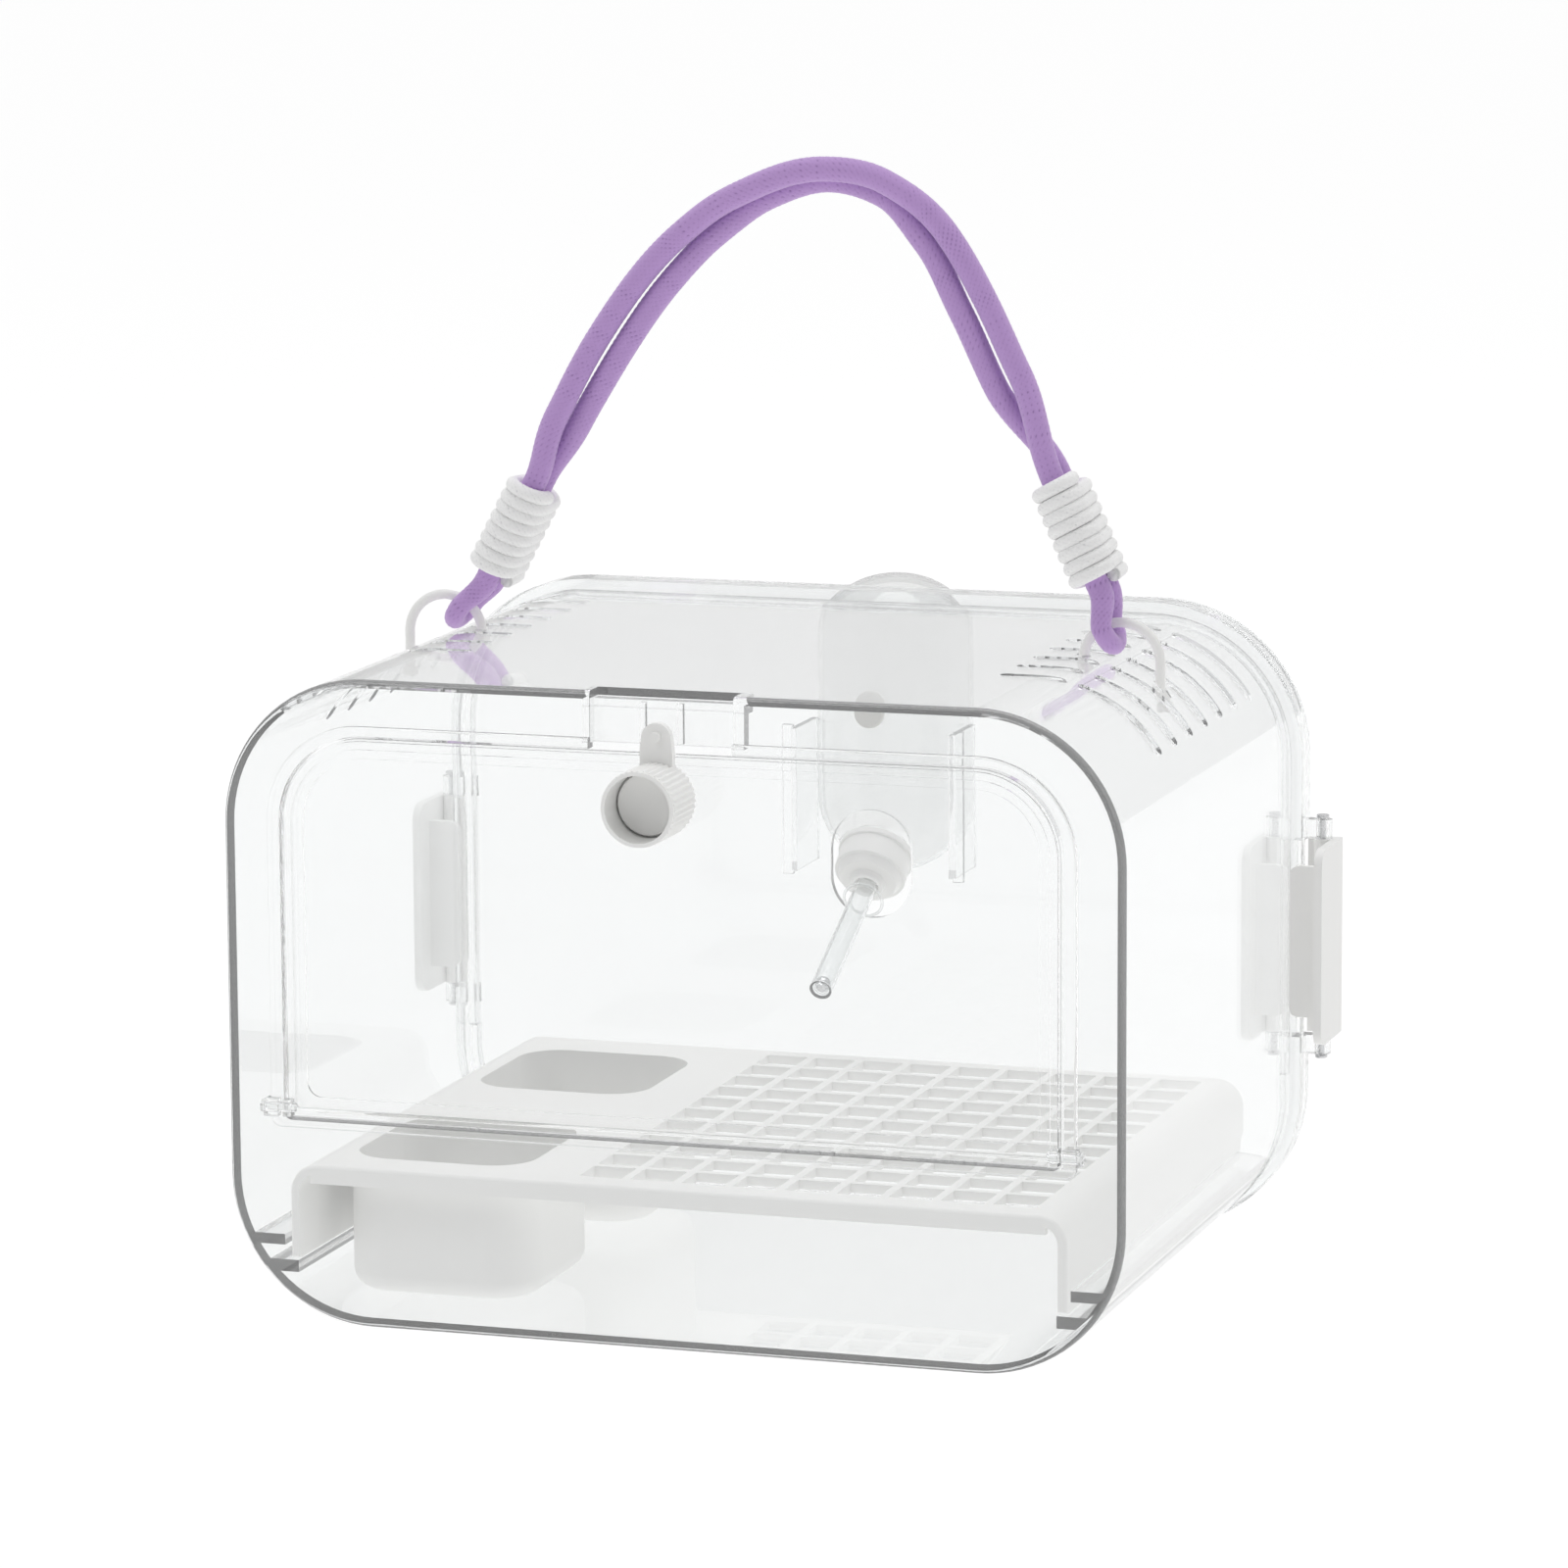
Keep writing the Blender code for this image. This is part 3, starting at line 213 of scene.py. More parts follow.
def rbox(name, x0, x1, y0, y1, z0, z1, axis=1, top=0.0, bottom=0.0, segments=18,
         coll=None, soft=None):
    """A box whose edges along one axis are rounded: `top` radius on the high
    side of the other upright axis, `bottom` on the low side.  `soft` rounds
    the rim of the face on the low side of the axis."""
    bm = box_bm(x0, x1, y0, y1, z0, z1)
    up = 1 if axis == 2 else 2
    mid = ((x0 + x1) / 2, (y0 + y1) / 2, (z0 + z1) / 2)[up]
    if top:
        bevel_where(bm, axis, lambda m: m[up] > mid, top, segments)
    if bottom:
        bevel_where(bm, axis, lambda m: m[up] < mid, bottom, segments)
    if soft:
        side, radius, seg = soft
        level = (x0, y0, z0)[axis] if side < 0 else (x1, y1, z1)[axis]
        edges = [e for e in bm.edges
                 if all(abs(v.co[axis] / MM - level) < 1e-3 for v in e.verts)]
        bmesh.ops.bevel(bm, geom=edges, offset=radius * MM, segments=seg,
                        profile=0.5, affect='EDGES', clamp_overlap=False)
    return new_object(name, mesh_from_bm(name, bm), coll or tools)


def cyl(name, p0, p1, r, seg=72, coll=None, r2=None):
    """A cylinder or cone between two points."""
    a, b = Vector(p0) * MM, Vector(p1) * MM
    bm = bmesh.new()
    bmesh.ops.create_cone(bm, cap_ends=True, segments=seg, radius1=r * MM,
                          radius2=(r if r2 is None else r2) * MM,
                          depth=(b - a).length)
    rot = (b - a).to_track_quat('Z', 'Y').to_matrix().to_4x4()
    bmesh.ops.transform(bm, matrix=Matrix.Translation((a + b) / 2) @ rot,
                        verts=bm.verts)
    return new_object(name, mesh_from_bm(name, bm), coll or tools)


def outline(name, pts, y0, y1, coll=None):
    """A flat outline in the XZ plane, made solid between two Y positions."""
    bm = bmesh.new()
    face = bm.faces.new([bm.verts.new((x * MM, y0 * MM, z * MM)) for x, z in pts])
    ext = bmesh.ops.extrude_face_region(bm, geom=[face])
    moved = [g for g in ext["geom"] if isinstance(g, bmesh.types.BMVert)]
    bmesh.ops.translate(bm, vec=(0, (y1 - y0) * MM, 0), verts=moved)
    return new_object(name, mesh_from_bm(name, bm), coll or tools)


def turned(name, profile, seg=40, coll=None):
    """A profile of (radius, height) turned about Z with a Screw modifier."""
    me = bpy.data.meshes.new(name + "_profile")
    vs = [(r * MM, 0.0, z * MM) for r, z in profile]
    closed = profile[0][0] > 0
    es = [(i, i + 1) for i in range(len(vs) - 1)]
    if closed:
        es.append((len(vs) - 1, 0))
    me.from_pydata(vs, es, [])
    ob = new_object(name, me, coll or tools)
    mod = ob.modifiers.new("turn", 'SCREW')
    mod.axis = 'Z'
    mod.angle = math.tau
    mod.steps = seg
    mod.render_steps = seg
    mod.use_merge_vertices = True
    mod.merge_threshold = 0.00001
    mod.use_normal_calculate = True
    return ob


def tube(name, pts, radius, radii=None, cyclic=False, res=8, coll=None):
    """A round bar along points, made a closed mesh."""
    cu = bpy.data.curves.new(name + "_path", 'CURVE')
    cu.dimensions = '3D'
    cu.bevel_depth = radius * MM
    cu.bevel_resolution = res
    cu.use_fill_caps = not cyclic
    sp = cu.splines.new('POLY')
    sp.points.add(len(pts) - 1)
    for i, p in enumerate(pts):
        sp.points[i].co = (p[0] * MM, p[1] * MM, p[2] * MM, 1.0)
        sp.points[i].radius = radii[i] if radii else 1.0
    sp.use_cyclic_u = cyclic
    ob = bpy.data.objects.new(name + "_curve", cu)
    tools.objects.link(ob)
    dg = bpy.context.evaluated_depsgraph_get()
    dg.update()
    me = bpy.data.meshes.new_from_object(ob.evaluated_get(dg))
    bm = bmesh.new()
    bm.from_mesh(me)
    bmesh.ops.remove_doubles(bm, verts=bm.verts, dist=0.000001)
    bmesh.ops.recalc_face_normals(bm, faces=bm.faces)
    bm.to_mesh(me)
    bm.free()
    new = new_object(name, me, coll or tools)
    new.matrix_world = ob.matrix_world.copy()
    bpy.data.objects.remove(ob, do_unlink=True)
    return new


def arc(cx, cz, r, a0, a1, n):
    return [(cx + r * math.cos(math.radians(a0 + (a1 - a0) * i / n)),
             cz + r * math.sin(math.radians(a0 + (a1 - a0) * i / n)))
            for i in range(n + 1)]


def keep(ob, node, mat, slot, body, bevel=0.0, smooth=32.0):
    """Make a piece's modifiers real, soften its edges, give it its material,
    and let it stand for its CAD node."""
    bpy.context.view_layer.update()
    dg = bpy.context.evaluated_depsgraph_get()
    me = bpy.data.meshes.new_from_object(ob.evaluated_get(dg))
    me.transform(ob.matrix_world)
    bm = bmesh.new()
    bm.from_mesh(me)
    bmesh.ops.remove_doubles(bm, verts=bm.verts, dist=0.000002)
    bmesh.ops.dissolve_degenerate(bm, edges=bm.edges, dist=0.000002)
    if bevel:
        sharp = [e for e in bm.edges if len(e.link_faces) == 2
                 and e.calc_face_angle(0) > math.radians(38)]
        bmesh.ops.bevel(bm, geom=sharp, offset=bevel * MM, segments=3,
                        profile=0.5, affect='EDGES', clamp_overlap=True)
    bm.to_mesh(me)
    bm.free()
    new = bpy.data.objects.new("vis_" + node, me)
    parts.objects.link(new)
    me.materials.clear()
    me.materials.append(mat)
    me.shade_smooth()
    me.set_sharp_from_angle(angle=math.radians(smooth))
    wn = new.modifiers.new("even_shading", 'WEIGHTED_NORMAL')
    wn.keep_sharp = True
    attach(new, body)
    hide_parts(node)
    if slot.startswith("clear"):      # clear walls let the room light the inside
        new.visible_shadow = False
        new.visible_diffuse = False
    return new


# ---------------------------------------------------------------- materials
def base_material(name):
    m = bpy.data.materials.new(name)
    m.use_nodes = True
    nt = m.node_tree
    return m, nt, nt.nodes["Principled BSDF"]


def clear_material(name, tint=(0.985, 0.992, 0.992), rough=0.0, ior=1.49, wave=0.004, clear=0.93):
    """Clear moulded plastic: faint flow waviness and a trace of haze."""
    m, nt, p = base_material(name)
    p.inputs["Roughness"].default_value = rough
    p.inputs["IOR"].default_value = ior
    p.inputs["Transmission Weight"].default_value = clear
    tc = nt.nodes.new("ShaderNodeTexCoord")
    haze = nt.nodes.new("ShaderNodeTexNoise")
    haze.inputs["Scale"].default_value = 9.0
    haze.inputs["Detail"].default_value = 1.0
    ramp = nt.nodes.new("ShaderNodeValToRGB")
    ramp.color_ramp.elements[0].color = (*[c * 0.994 for c in tint], 1)
    ramp.color_ramp.elements[1].color = (*tint, 1)
    flow = nt.nodes.new("ShaderNodeTexNoise")
    flow.inputs["Scale"].default_value = 14.0
    flow.inputs["Detail"].default_value = 0.0
    bump = nt.nodes.new("ShaderNodeBump")
    bump.inputs["Strength"].default_value = wave
    bump.inputs["Distance"].default_value = 0.001
    nt.links.new(tc.outputs["Object"], haze.inputs["Vector"])
    nt.links.new(tc.outputs["Object"], flow.inputs["Vector"])
    nt.links.new(haze.outputs["Fac"], ramp.inputs["Fac"])
    nt.links.new(ramp.outputs["Color"], p.inputs["Base Color"])
    nt.links.new(flow.outputs["Fac"], bump.inputs["Height"])
    nt.links.new(bump.outputs["Normal"], p.inputs["Normal"])
    return m


def moulded_material(name, colour, rough=0.42, grain=0.12, scale=1400.0):
    """Opaque satin plastic: a fine mould grain and slightly uneven gloss."""
    m, nt, p = base_material(name)
    p.inputs["IOR"].default_value = 1.47
    tc = nt.nodes.new("ShaderNodeTexCoord")
    big = nt.nodes.new("ShaderNodeTexNoise")
    big.inputs["Scale"].default_value = 22.0
    big.inputs["Detail"].default_value = 3.0
    ramp = nt.nodes.new("ShaderNodeValToRGB")
    ramp.color_ramp.elements[0].color = (*[c * 0.975 for c in colour], 1)
    ramp.color_ramp.elements[1].color = (*[min(1.0, c * 1.012) for c in colour], 1)
    gloss = nt.nodes.new("ShaderNodeMapRange")
    gloss.inputs["To Min"].default_value = rough - 0.05
    gloss.inputs["To Max"].default_value = rough + 0.06
    fine = nt.nodes.new("ShaderNodeTexNoise")
    fine.inputs["Scale"].default_value = scale
    fine.inputs["Detail"].default_value = 2.0
    bump = nt.nodes.new("ShaderNodeBump")
    bump.inputs["Strength"].default_value = grain
    bump.inputs["Distance"].default_value = 0.00012
    for t in (big, fine):
        nt.links.new(tc.outputs["Object"], t.inputs["Vector"])
    nt.links.new(big.outputs["Fac"], ramp.inputs["Fac"])
    nt.links.new(big.outputs["Fac"], gloss.inputs["Value"])
    nt.links.new(ramp.outputs["Color"], p.inputs["Base Color"])
    nt.links.new(gloss.outputs["Result"], p.inputs["Roughness"])
    nt.links.new(fine.outputs["Fac"], bump.inputs["Height"])
    nt.links.new(bump.outputs["Normal"], p.inputs["Normal"])
    return m


def steel_material(name, rough):
    m, nt, p = base_material(name)
    p.inputs["Metallic"].default_value = 1.0
    tc = nt.nodes.new("ShaderNodeTexCoord")
    n = nt.nodes.new("ShaderNodeTexNoise")
    n.inputs["Scale"].default_value = 900.0
    ramp = nt.nodes.new("ShaderNodeValToRGB")
    ramp.color_ramp.elements[0].color = (0.58, 0.58, 0.59, 1)
    ramp.color_ramp.elements[1].color = (0.72, 0.72, 0.73, 1)
    mr = nt.nodes.new("ShaderNodeMapRange")
    mr.inputs["To Min"].default_value = rough * 0.8
    mr.inputs["To Max"].default_value = rough * 1.3
    nt.links.new(tc.outputs["Object"], n.inputs["Vector"])
    nt.links.new(n.outputs["Fac"], ramp.inputs["Fac"])
    nt.links.new(n.outputs["Fac"], mr.inputs["Value"])
    nt.links.new(ramp.outputs["Color"], p.inputs["Base Color"])
    nt.links.new(mr.outputs["Result"], p.inputs["Roughness"])
    return m


def yarn_material(name, valley_shade_colour, light, rough, sheen, attribute="relief"):
    """Knitted or braided cord: painted shade darkens the valleys of the real relief, with
    fine fibres on top."""
    m, nt, p = base_material(name)
    p.inputs["Roughness"].default_value = rough
    p.inputs["Sheen Weight"].default_value = sheen
    p.inputs["Sheen Roughness"].default_value = 0.5
    at = nt.nodes.new("ShaderNodeAttribute")
    at.attribute_name = attribute
    tc = nt.nodes.new("ShaderNodeTexCoord")
    fib = nt.nodes.new("ShaderNodeTexNoise")
    fib.inputs["Scale"].default_value = 2600.0
    fib.inputs["Detail"].default_value = 3.0
    add = nt.nodes.new("ShaderNodeMath")
    add.operation = 'MULTIPLY_ADD'
    add.inputs[1].default_value = 0.35
    # painted shade: low relief takes the darker colour and the crests take the lighter one
    ramp = nt.nodes.new("ShaderNodeValToRGB")
    ramp.color_ramp.elements[0].color = (*valley_shade_colour, 1)
    ramp.color_ramp.elements[0].position = 0.1
    ramp.color_ramp.elements[1].color = (*light, 1)
    ramp.color_ramp.elements[1].position = 0.95
    bump = nt.nodes.new("ShaderNodeBump")
    bump.inputs["Strength"].default_value = 0.5
    bump.inputs["Distance"].default_value = 0.0002
    nt.links.new(tc.outputs["Object"], fib.inputs["Vector"])
    nt.links.new(fib.outputs["Fac"], add.inputs[0])
    nt.links.new(at.outputs["Fac"], add.inputs[2])
    nt.links.new(add.outputs["Value"], ramp.inputs["Fac"])
    nt.links.new(ramp.outputs["Color"], p.inputs["Base Color"])
    nt.links.new(fib.outputs["Fac"], bump.inputs["Height"])
    nt.links.new(bump.outputs["Normal"], p.inputs["Normal"])
    return m


WHITE = (0.88, 0.88, 0.865)
M_CASE = clear_material("clear_case")
M_DOOR = clear_material("clear_door")
M_LID = clear_material("clear_lid")
M_PINS = clear_material("clear_pins", rough=0.03)
M_BOTTLE = clear_material("clear_bottle", tint=(0.93, 0.934, 0.932), wave=0.01, clear=0.96)
M_SPOUT = clear_material("clear_spout", tint=(0.95, 0.96, 0.96), clear=0.97)
M_RING = clear_material("clear_ring", tint=(0.9, 0.91, 0.91), rough=0.08)
M_LATCH = moulded_material("white_latch", WHITE, 0.40)
M_CLIPS = moulded_material("white_clips", WHITE, 0.42)
M_CAP = moulded_material("white_cap", WHITE, 0.36)
M_RINGS = moulded_material("white_rings", WHITE, 0.40)
M_TRAY = moulded_material("white_platform", WHITE, 0.50, grain=0.2, scale=1800.0)
M_BUTTON = moulded_material("grey_button", (0.66, 0.66, 0.63), 0.5)
M_GASKET = moulded_material("silicone", (0.78, 0.78, 0.76), 0.6, grain=0.25)
M_PIN = steel_material("steel_pins", 0.26)
M_BALL = steel_material("steel_ball", 0.08)
# the darker ramp colour of both cords is painted shade for the valleys of the braid
M_ROPE = yarn_material("lilac_rope", (0.235, 0.125, 0.36), (0.50, 0.315, 0.645), 0.85, 0.35)
M_CORD = yarn_material("white_cord", (0.56, 0.56, 0.57), (0.90, 0.90, 0.895), 0.85, 0.2)

HALF = CASE_W / 2
# ---------------------------------------------------------------- case
case = rbox("case_shell", -HALF, HALF, CASE_FRONT, CASE_REAR, 0, CASE_H,
            top=CASE_R, bottom=CASE_R, segments=20, soft=(-1, 1.6, 6))
flange = rbox("flange", -HALF - FLANGE_OUT, HALF + FLANGE_OUT, FLANGE_Y,
              CASE_REAR, 0, CASE_H + FLANGE_OUT, top=CASE_R + FLANGE_OUT,
              bottom=CASE_R + 1.0, segments=20)
boolean(case, flange, 'UNION')
hollow = rbox("case_hollow", -HALF + WALL, HALF - WALL, CASE_FRONT + WALL,
              CASE_REAR + 20, WALL, CASE_H - WALL, top=CASE_R - WALL,
              bottom=CASE_R - WALL, segments=20)
boolean(case, hollow)

# bead round the door opening, the step behind the finger recess, the rails
bead = rbox("bead", -DOOR_HALF - DOOR_GAP - BEAD_W, DOOR_HALF + DOOR_GAP + BEAD_W,
            CASE_FRONT - BEAD_OUT, CASE_FRONT + 0.5,
            DOOR_Z0 - DOOR_GAP - BEAD_W * 0.55, DOOR_Z1 + DOOR_GAP + BEAD_W * 0.75,
            top=DOOR_TOP_R + DOOR_GAP + 3.4, bottom=3.0, segments=20,
            soft=(-1, 0.6, 3))
boolean(case, bead, 'UNION')
step_a = rbox("recess_wall", LATCH_X - RECESS_HALF - WALL, LATCH_X + RECESS_HALF + WALL,
              CASE_FRONT + 1.6, CASE_FRONT + 6.4, 165.6, CASE_H - 1.5)
boolean(case, step_a, 'UNION')
step_b = rbox("recess_roof", LATCH_X - RECESS_HALF - WALL, LATCH_X + RECESS_HALF + WALL,
              CASE_FRONT + 1.6, CASE_FRONT + 10.0, 174.9, CASE_H - 1.4)
boolean(case, step_b, 'UNION')
for s, tag in ((-1, "left"), (1, "right")):
    x = sorted((s * 112.3, s * 121.8))
    boolean(case, rbox("upper_rail_" + tag, x[0], x[1], CASE_FRONT + 1.2, 78.0,
                       21.3, 24.3), 'UNION')
    x = sorted((s * 108.4, s * 117.0))
    boolean(case, rbox("lower_rail_" + tag, x[0], x[1], CASE_FRONT + 1.2, 78.0,
                       13.8, 17.2), 'UNION')
    x = sorted((s * 111.4, s * 115.4))
    boolean(case, rbox("hinge_lug_" + tag, x[0], x[1], HINGE_Y - 2.4, CASE_FRONT + 0.8,
                       HINGE_Z - 2.4, HINGE_Z + 2.4, axis=0, soft=None), 'UNION')

opening = rbox("door_opening", -DOOR_HALF - DOOR_GAP, DOOR_HALF + DOOR_GAP,
               CASE_FRONT - 10, CASE_FRONT + WALL + 1.0, DOOR_Z0 - DOOR_GAP,
               DOOR_Z1 + DOOR_GAP, top=DOOR_TOP_R + DOOR_GAP, bottom=2.4,
               segments=20)
boolean(case, opening)
boolean(case, rbox("recess", LATCH_X - RECESS_HALF, LATCH_X + RECESS_HALF,
                   CASE_FRONT - 10, CASE_FRONT + 3.9, 160.0, CASE_H + 10))
boolean(case, rbox("recess_top", LATCH_X - RECESS_HALF, LATCH_X + RECESS_HALF,
                   CASE_FRONT - 10, CASE_FRONT + 7.4, CASE_H - 2.5, CASE_H + 10))
for i, (rx0, rx1) in enumerate(((-6.9, -5.3), (3.7, 5.3))):
    boolean(case, rbox("recess_rib_%d" % i, LATCH_X + rx0, LATCH_X + rx1,
                       CASE_FRONT + 2.2, CASE_FRONT + 4.4, 166.2, CASE_H - 2.9),
            'UNION')
boolean(case, cyl("hinge_bores", (-125, HINGE_Y, HINGE_Z), (125, HINGE_Y, HINGE_Z),
                  HINGE_BORE_D / 2, 72))


def capsule(bm, y, x0, x1, z0, z1, width):
    """A round-ended slot cutter across X, cut downwards."""
    r = width / 2
    n = 12
    pts = []
    for i in range(n + 1):
        a = math.radians(-90 + 180 * i / n)
        pts.append((x1 - r + r * math.cos(a), y + r * math.sin(a)))
    for i in range(n + 1):
        a = math.radians(90 + 180 * i / n)
        pts.append((x0 + r + r * math.cos(a), y + r * math.sin(a)))
    face = bm.faces.new([bm.verts.new((px * MM, py * MM, z0 * MM)) for px, py in pts])
    ext = bmesh.ops.extrude_face_region(bm, geom=[face])
    mv = [g for g in ext["geom"] if isinstance(g, bmesh.types.BMVert)]
    bmesh.ops.translate(bm, vec=(0, 0, (z1 - z0) * MM), verts=mv)


# vents: short slots on the flat top, longer ones over the rounded corner
CORNER_X, CORNER_Z = HALF - CASE_R, CASE_H - CASE_R
for s, tag in ((-1, "left"), (1, "right")):
    bm = bmesh.new()
    for k in range(VENT_ROWS):
        y = VENT_Y0 + VENT_PITCH * k
        capsule(bm, y, 76.5 if s > 0 else -94.8, 94.8 if s > 0 else -76.5,
                CASE_H - 12, CASE_H + 6, VENT_W)
    bmesh.ops.recalc_face_normals(bm, faces=bm.faces)
    boolean(case, new_object("top_vents_" + tag, mesh_from_bm("top_vents_" + tag, bm),
                             tools))
    # the long slots: an arc sector through the wall, between two angles
    bm = bmesh.new()
    for k in range(VENT_ROWS):
        y = VENT_Y0 + VENT_PITCH * k
        n = 40
        rows = []
        a0, a1 = 17.0, 59.0
        for i in range(n + 1):
            a = a0 + (a1 - a0) * i / n
            run_mm = math.radians(min(a - a0, a1 - a)) * CASE_R
            q = min(1.0, run_mm / (VENT_W / 2))
            half = VENT_W / 2 * max(0.12, math.sqrt(1 - (1 - q) ** 2))
            rows.append((math.radians(a), half))
        loops = []
        for a, half in rows:
            loop = []
            for rr, yy in ((CASE_R - 9, -half), (CASE_R - 9, half),
                           (CASE_R + 6, half), (CASE_R + 6, -half)):
                loop.append(bm.verts.new((s * (CORNER_X + rr * math.sin(a)) * MM,
                                          (y + yy) * MM,
                                          (CORNER_Z + rr * math.cos(a)) * MM)))
            loops.append(loop)
        for p, q in zip(loops[:-1], loops[1:]):
            for j in range(4):
                bm.faces.new((p[j], p[(j + 1) % 4], q[(j + 1) % 4], q[j]))
        bm.faces.new(loops[0])
        bm.faces.new(loops[-1])
    boolean(case, new_object("corner_vents_" + tag,
                             mesh_from_bm("corner_vents_" + tag, bm), tools))
    for j, fx in enumerate((RING_X - RING_R, RING_X + RING_R)):
        boolean(case, cyl("ring_hole_%s_%d" % (tag, j), (s * fx, RING_Y, 160),
                          (s * fx, RING_Y, 190), RING_WIRE + 0.4, 72))

keep(case, "case_shell", M_CASE, "clear_case", "root")

# ---------------------------------------------------------------- front door
door = rbox("front_door", -DOOR_HALF, DOOR_HALF, CASE_FRONT, CASE_FRONT + DOOR_T,
            DOOR_Z0, DOOR_Z1, top=DOOR_TOP_R, bottom=1.8, segments=20)
rim = rbox("door_rim", -DOOR_HALF + 0.5, DOOR_HALF - 0.5, CASE_FRONT - 1.3,
           CASE_FRONT + 0.4, DOOR_Z0 + 0.5, DOOR_Z1 - 0.5, top=DOOR_TOP_R - 0.5,
           bottom=1.4, segments=20)
boolean(door, rim, 'UNION')
rim_in = rbox("door_rim_inner", -DOOR_HALF + 2.7, DOOR_HALF - 2.7, CASE_FRONT - 3,
              CASE_FRONT, DOOR_Z0 + 2.7, DOOR_Z1 - 2.7, top=DOOR_TOP_R - 2.7,
              bottom=1.0, segments=20)
boolean(door, rim_in)
pane = rbox("door_pane_step", -DOOR_HALF + 5.8, DOOR_HALF - 5.8, CASE_FRONT - 3,
            CASE_FRONT + 0.55, DOOR_Z0 + 5.8, DOOR_Z1 - 5.4, top=DOOR_TOP_R - 5.6,
            bottom=4.2, segments=20)
boolean(door, pane)
for s, tag in ((-1, "left"), (1, "right")):
    x = sorted((s * 107.6, s * 110.0))
    boolean(door, rbox("door_ear_" + tag, x[0], x[1], HINGE_Y - 2.0, CASE_FRONT + 0.5,
                       HINGE_Z - 2.3, HINGE_Z + 2.3), 'UNION')
boolean(door, cyl("door_bores", (-125, HINGE_Y, HINGE_Z), (125, HINGE_Y, HINGE_Z),
                  HINGE_BORE_D / 2, 72))
boolean(door, cyl("door_axle_hole", (LATCH_X, -110, LATCH_Z), (LATCH_X, -80, LATCH_Z),
                  2.9, 72))
keep(door, "front_door", M_DOOR, "clear_door", "door")

for s, tag in ((-1, "left"), (1, "right")):
    pin = cyl("door_pin_" + tag, (s * 106.9, HINGE_Y, HINGE_Z),
              (s * 116.2, HINGE_Y, HINGE_Z), HINGE_PIN_D / 2, 72)
    head = cyl("door_pin_head_" + tag, (s * 115.8, HINGE_Y, HINGE_Z),
               (s * 116.8, HINGE_Y, HINGE_Z), 1.8, 72)
    boolean(pin, head, 'UNION')
    keep(pin, "door_pin_" + tag, M_PINS, "clear_pins", "root")

# ---------------------------------------------------------------- latch
n = KNOB_RIBS * 8
pts = []
for i in range(n):
    a = math.tau * i / n
    r = KNOB_R - 0.5 * (0.5 - 0.5 * math.cos(math.tau * i / 8)) ** 0.7
    pts.append((LATCH_X + r * math.cos(a), LATCH_Z + r * math.sin(a)))
knob = outline("latch_knob", pts, KNOB_BACK, KNOB_FRONT + 0.9)
collar = cyl("knob_collar", (LATCH_X, KNOB_FRONT, LATCH_Z),
             (LATCH_X, KNOB_FRONT + 1.3, LATCH_Z), KNOB_R - 0.25, 72)
boolean(knob, collar, 'UNION')
tip = arc(LATCH_X, TONGUE_TOP - TONGUE_HALF + 0.4, TONGUE_HALF - 0.4, 0, 180, 40)
tongue = outline("tongue", [(LATCH_X + TONGUE_HALF, LATCH_Z), (LATCH_X + TONGUE_HALF, 165.5)]
                 + tip + [(LATCH_X - TONGUE_HALF, 165.5), (LATCH_X - TONGUE_HALF, LATCH_Z)],
                 KNOB_BACK - 0.2, KNOB_BACK - 2.5)
boolean(knob, tongue, 'UNION')
boolean(knob, cyl("tongue_bump", (LATCH_X, KNOB_BACK - 1.0, 169.2),
                  (LATCH_X, KNOB_BACK - 3.7, 169.2), 1.6, 72, r2=1.25), 'UNION')
boolean(knob, cyl("knob_bore", (LATCH_X, KNOB_FRONT - 5, LATCH_Z),
                  (LATCH_X, KNOB_FLOOR, LATCH_Z), KNOB_BORE_R, 72))
boolean(knob, cyl("knob_axle_bore", (LATCH_X, -110, LATCH_Z), (LATCH_X, -90, LATCH_Z),
                  2.7, 72))
keep(knob, "latch_knob", M_LATCH, "white_latch", "latch")
axle = cyl("latch_axle", (LATCH_X, KNOB_FLOOR - 1.2, LATCH_Z), (LATCH_X, -90.6, LATCH_Z),
           2.35, 72)
boolean(axle, cyl("axle_head", (LATCH_X, KNOB_FLOOR - 1.7, LATCH_Z),
                  (LATCH_X, KNOB_FLOOR - 0.35, LATCH_Z), 8.4, 72, r2=8.7), 'UNION')
boolean(axle, cyl("axle_collar", (LATCH_X, -92.6, LATCH_Z), (LATCH_X, -90.4, LATCH_Z),
                  4.4, 72), 'UNION')
keep(axle, "latch_axle", M_LATCH, "white_latch", "latch", bevel=0.25)

# ---------------------------------------------------------------- rear lid
lid = rbox("rear_lid", -HALF - FLANGE_OUT, HALF + FLANGE_OUT, LID_Y0, LID_Y1, 0,
           CASE_H + FLANGE_OUT, top=CASE_R + FLANGE_OUT, bottom=CASE_R + 1.0,
           segments=20, soft=(1, 1.2, 5))
lip = rbox("lid_lip", -HALF + WALL + 0.5, HALF - WALL - 0.5, LIP_Y, LID_Y0 + 0.5,
           LIP_Z0, CASE_H - WALL - 0.5, top=CASE_R - 3.0, segments=20)
lip_hole = rbox("lid_lip_hole", -HALF + WALL + 2.6, HALF - WALL - 2.6, LIP_Y - 3,
                LID_Y0, LIP_Z0 - 5, CASE_H - WALL - 2.6, top=CASE_R - 5.1,
                segments=20)
boolean(lid, lip, 'UNION')
boolean(lid, lip_hole)
tray_cut = rbox("lid_tray", -HALF + 2.8, HALF - 2.8, LID_Y0 + LID_PLATE, LID_Y1 + 5,
                3.0, CASE_H - 2.8, top=CASE_R - 2.8, bottom=CASE_R - 3.2, segments=20)
boolean(lid, tray_cut)
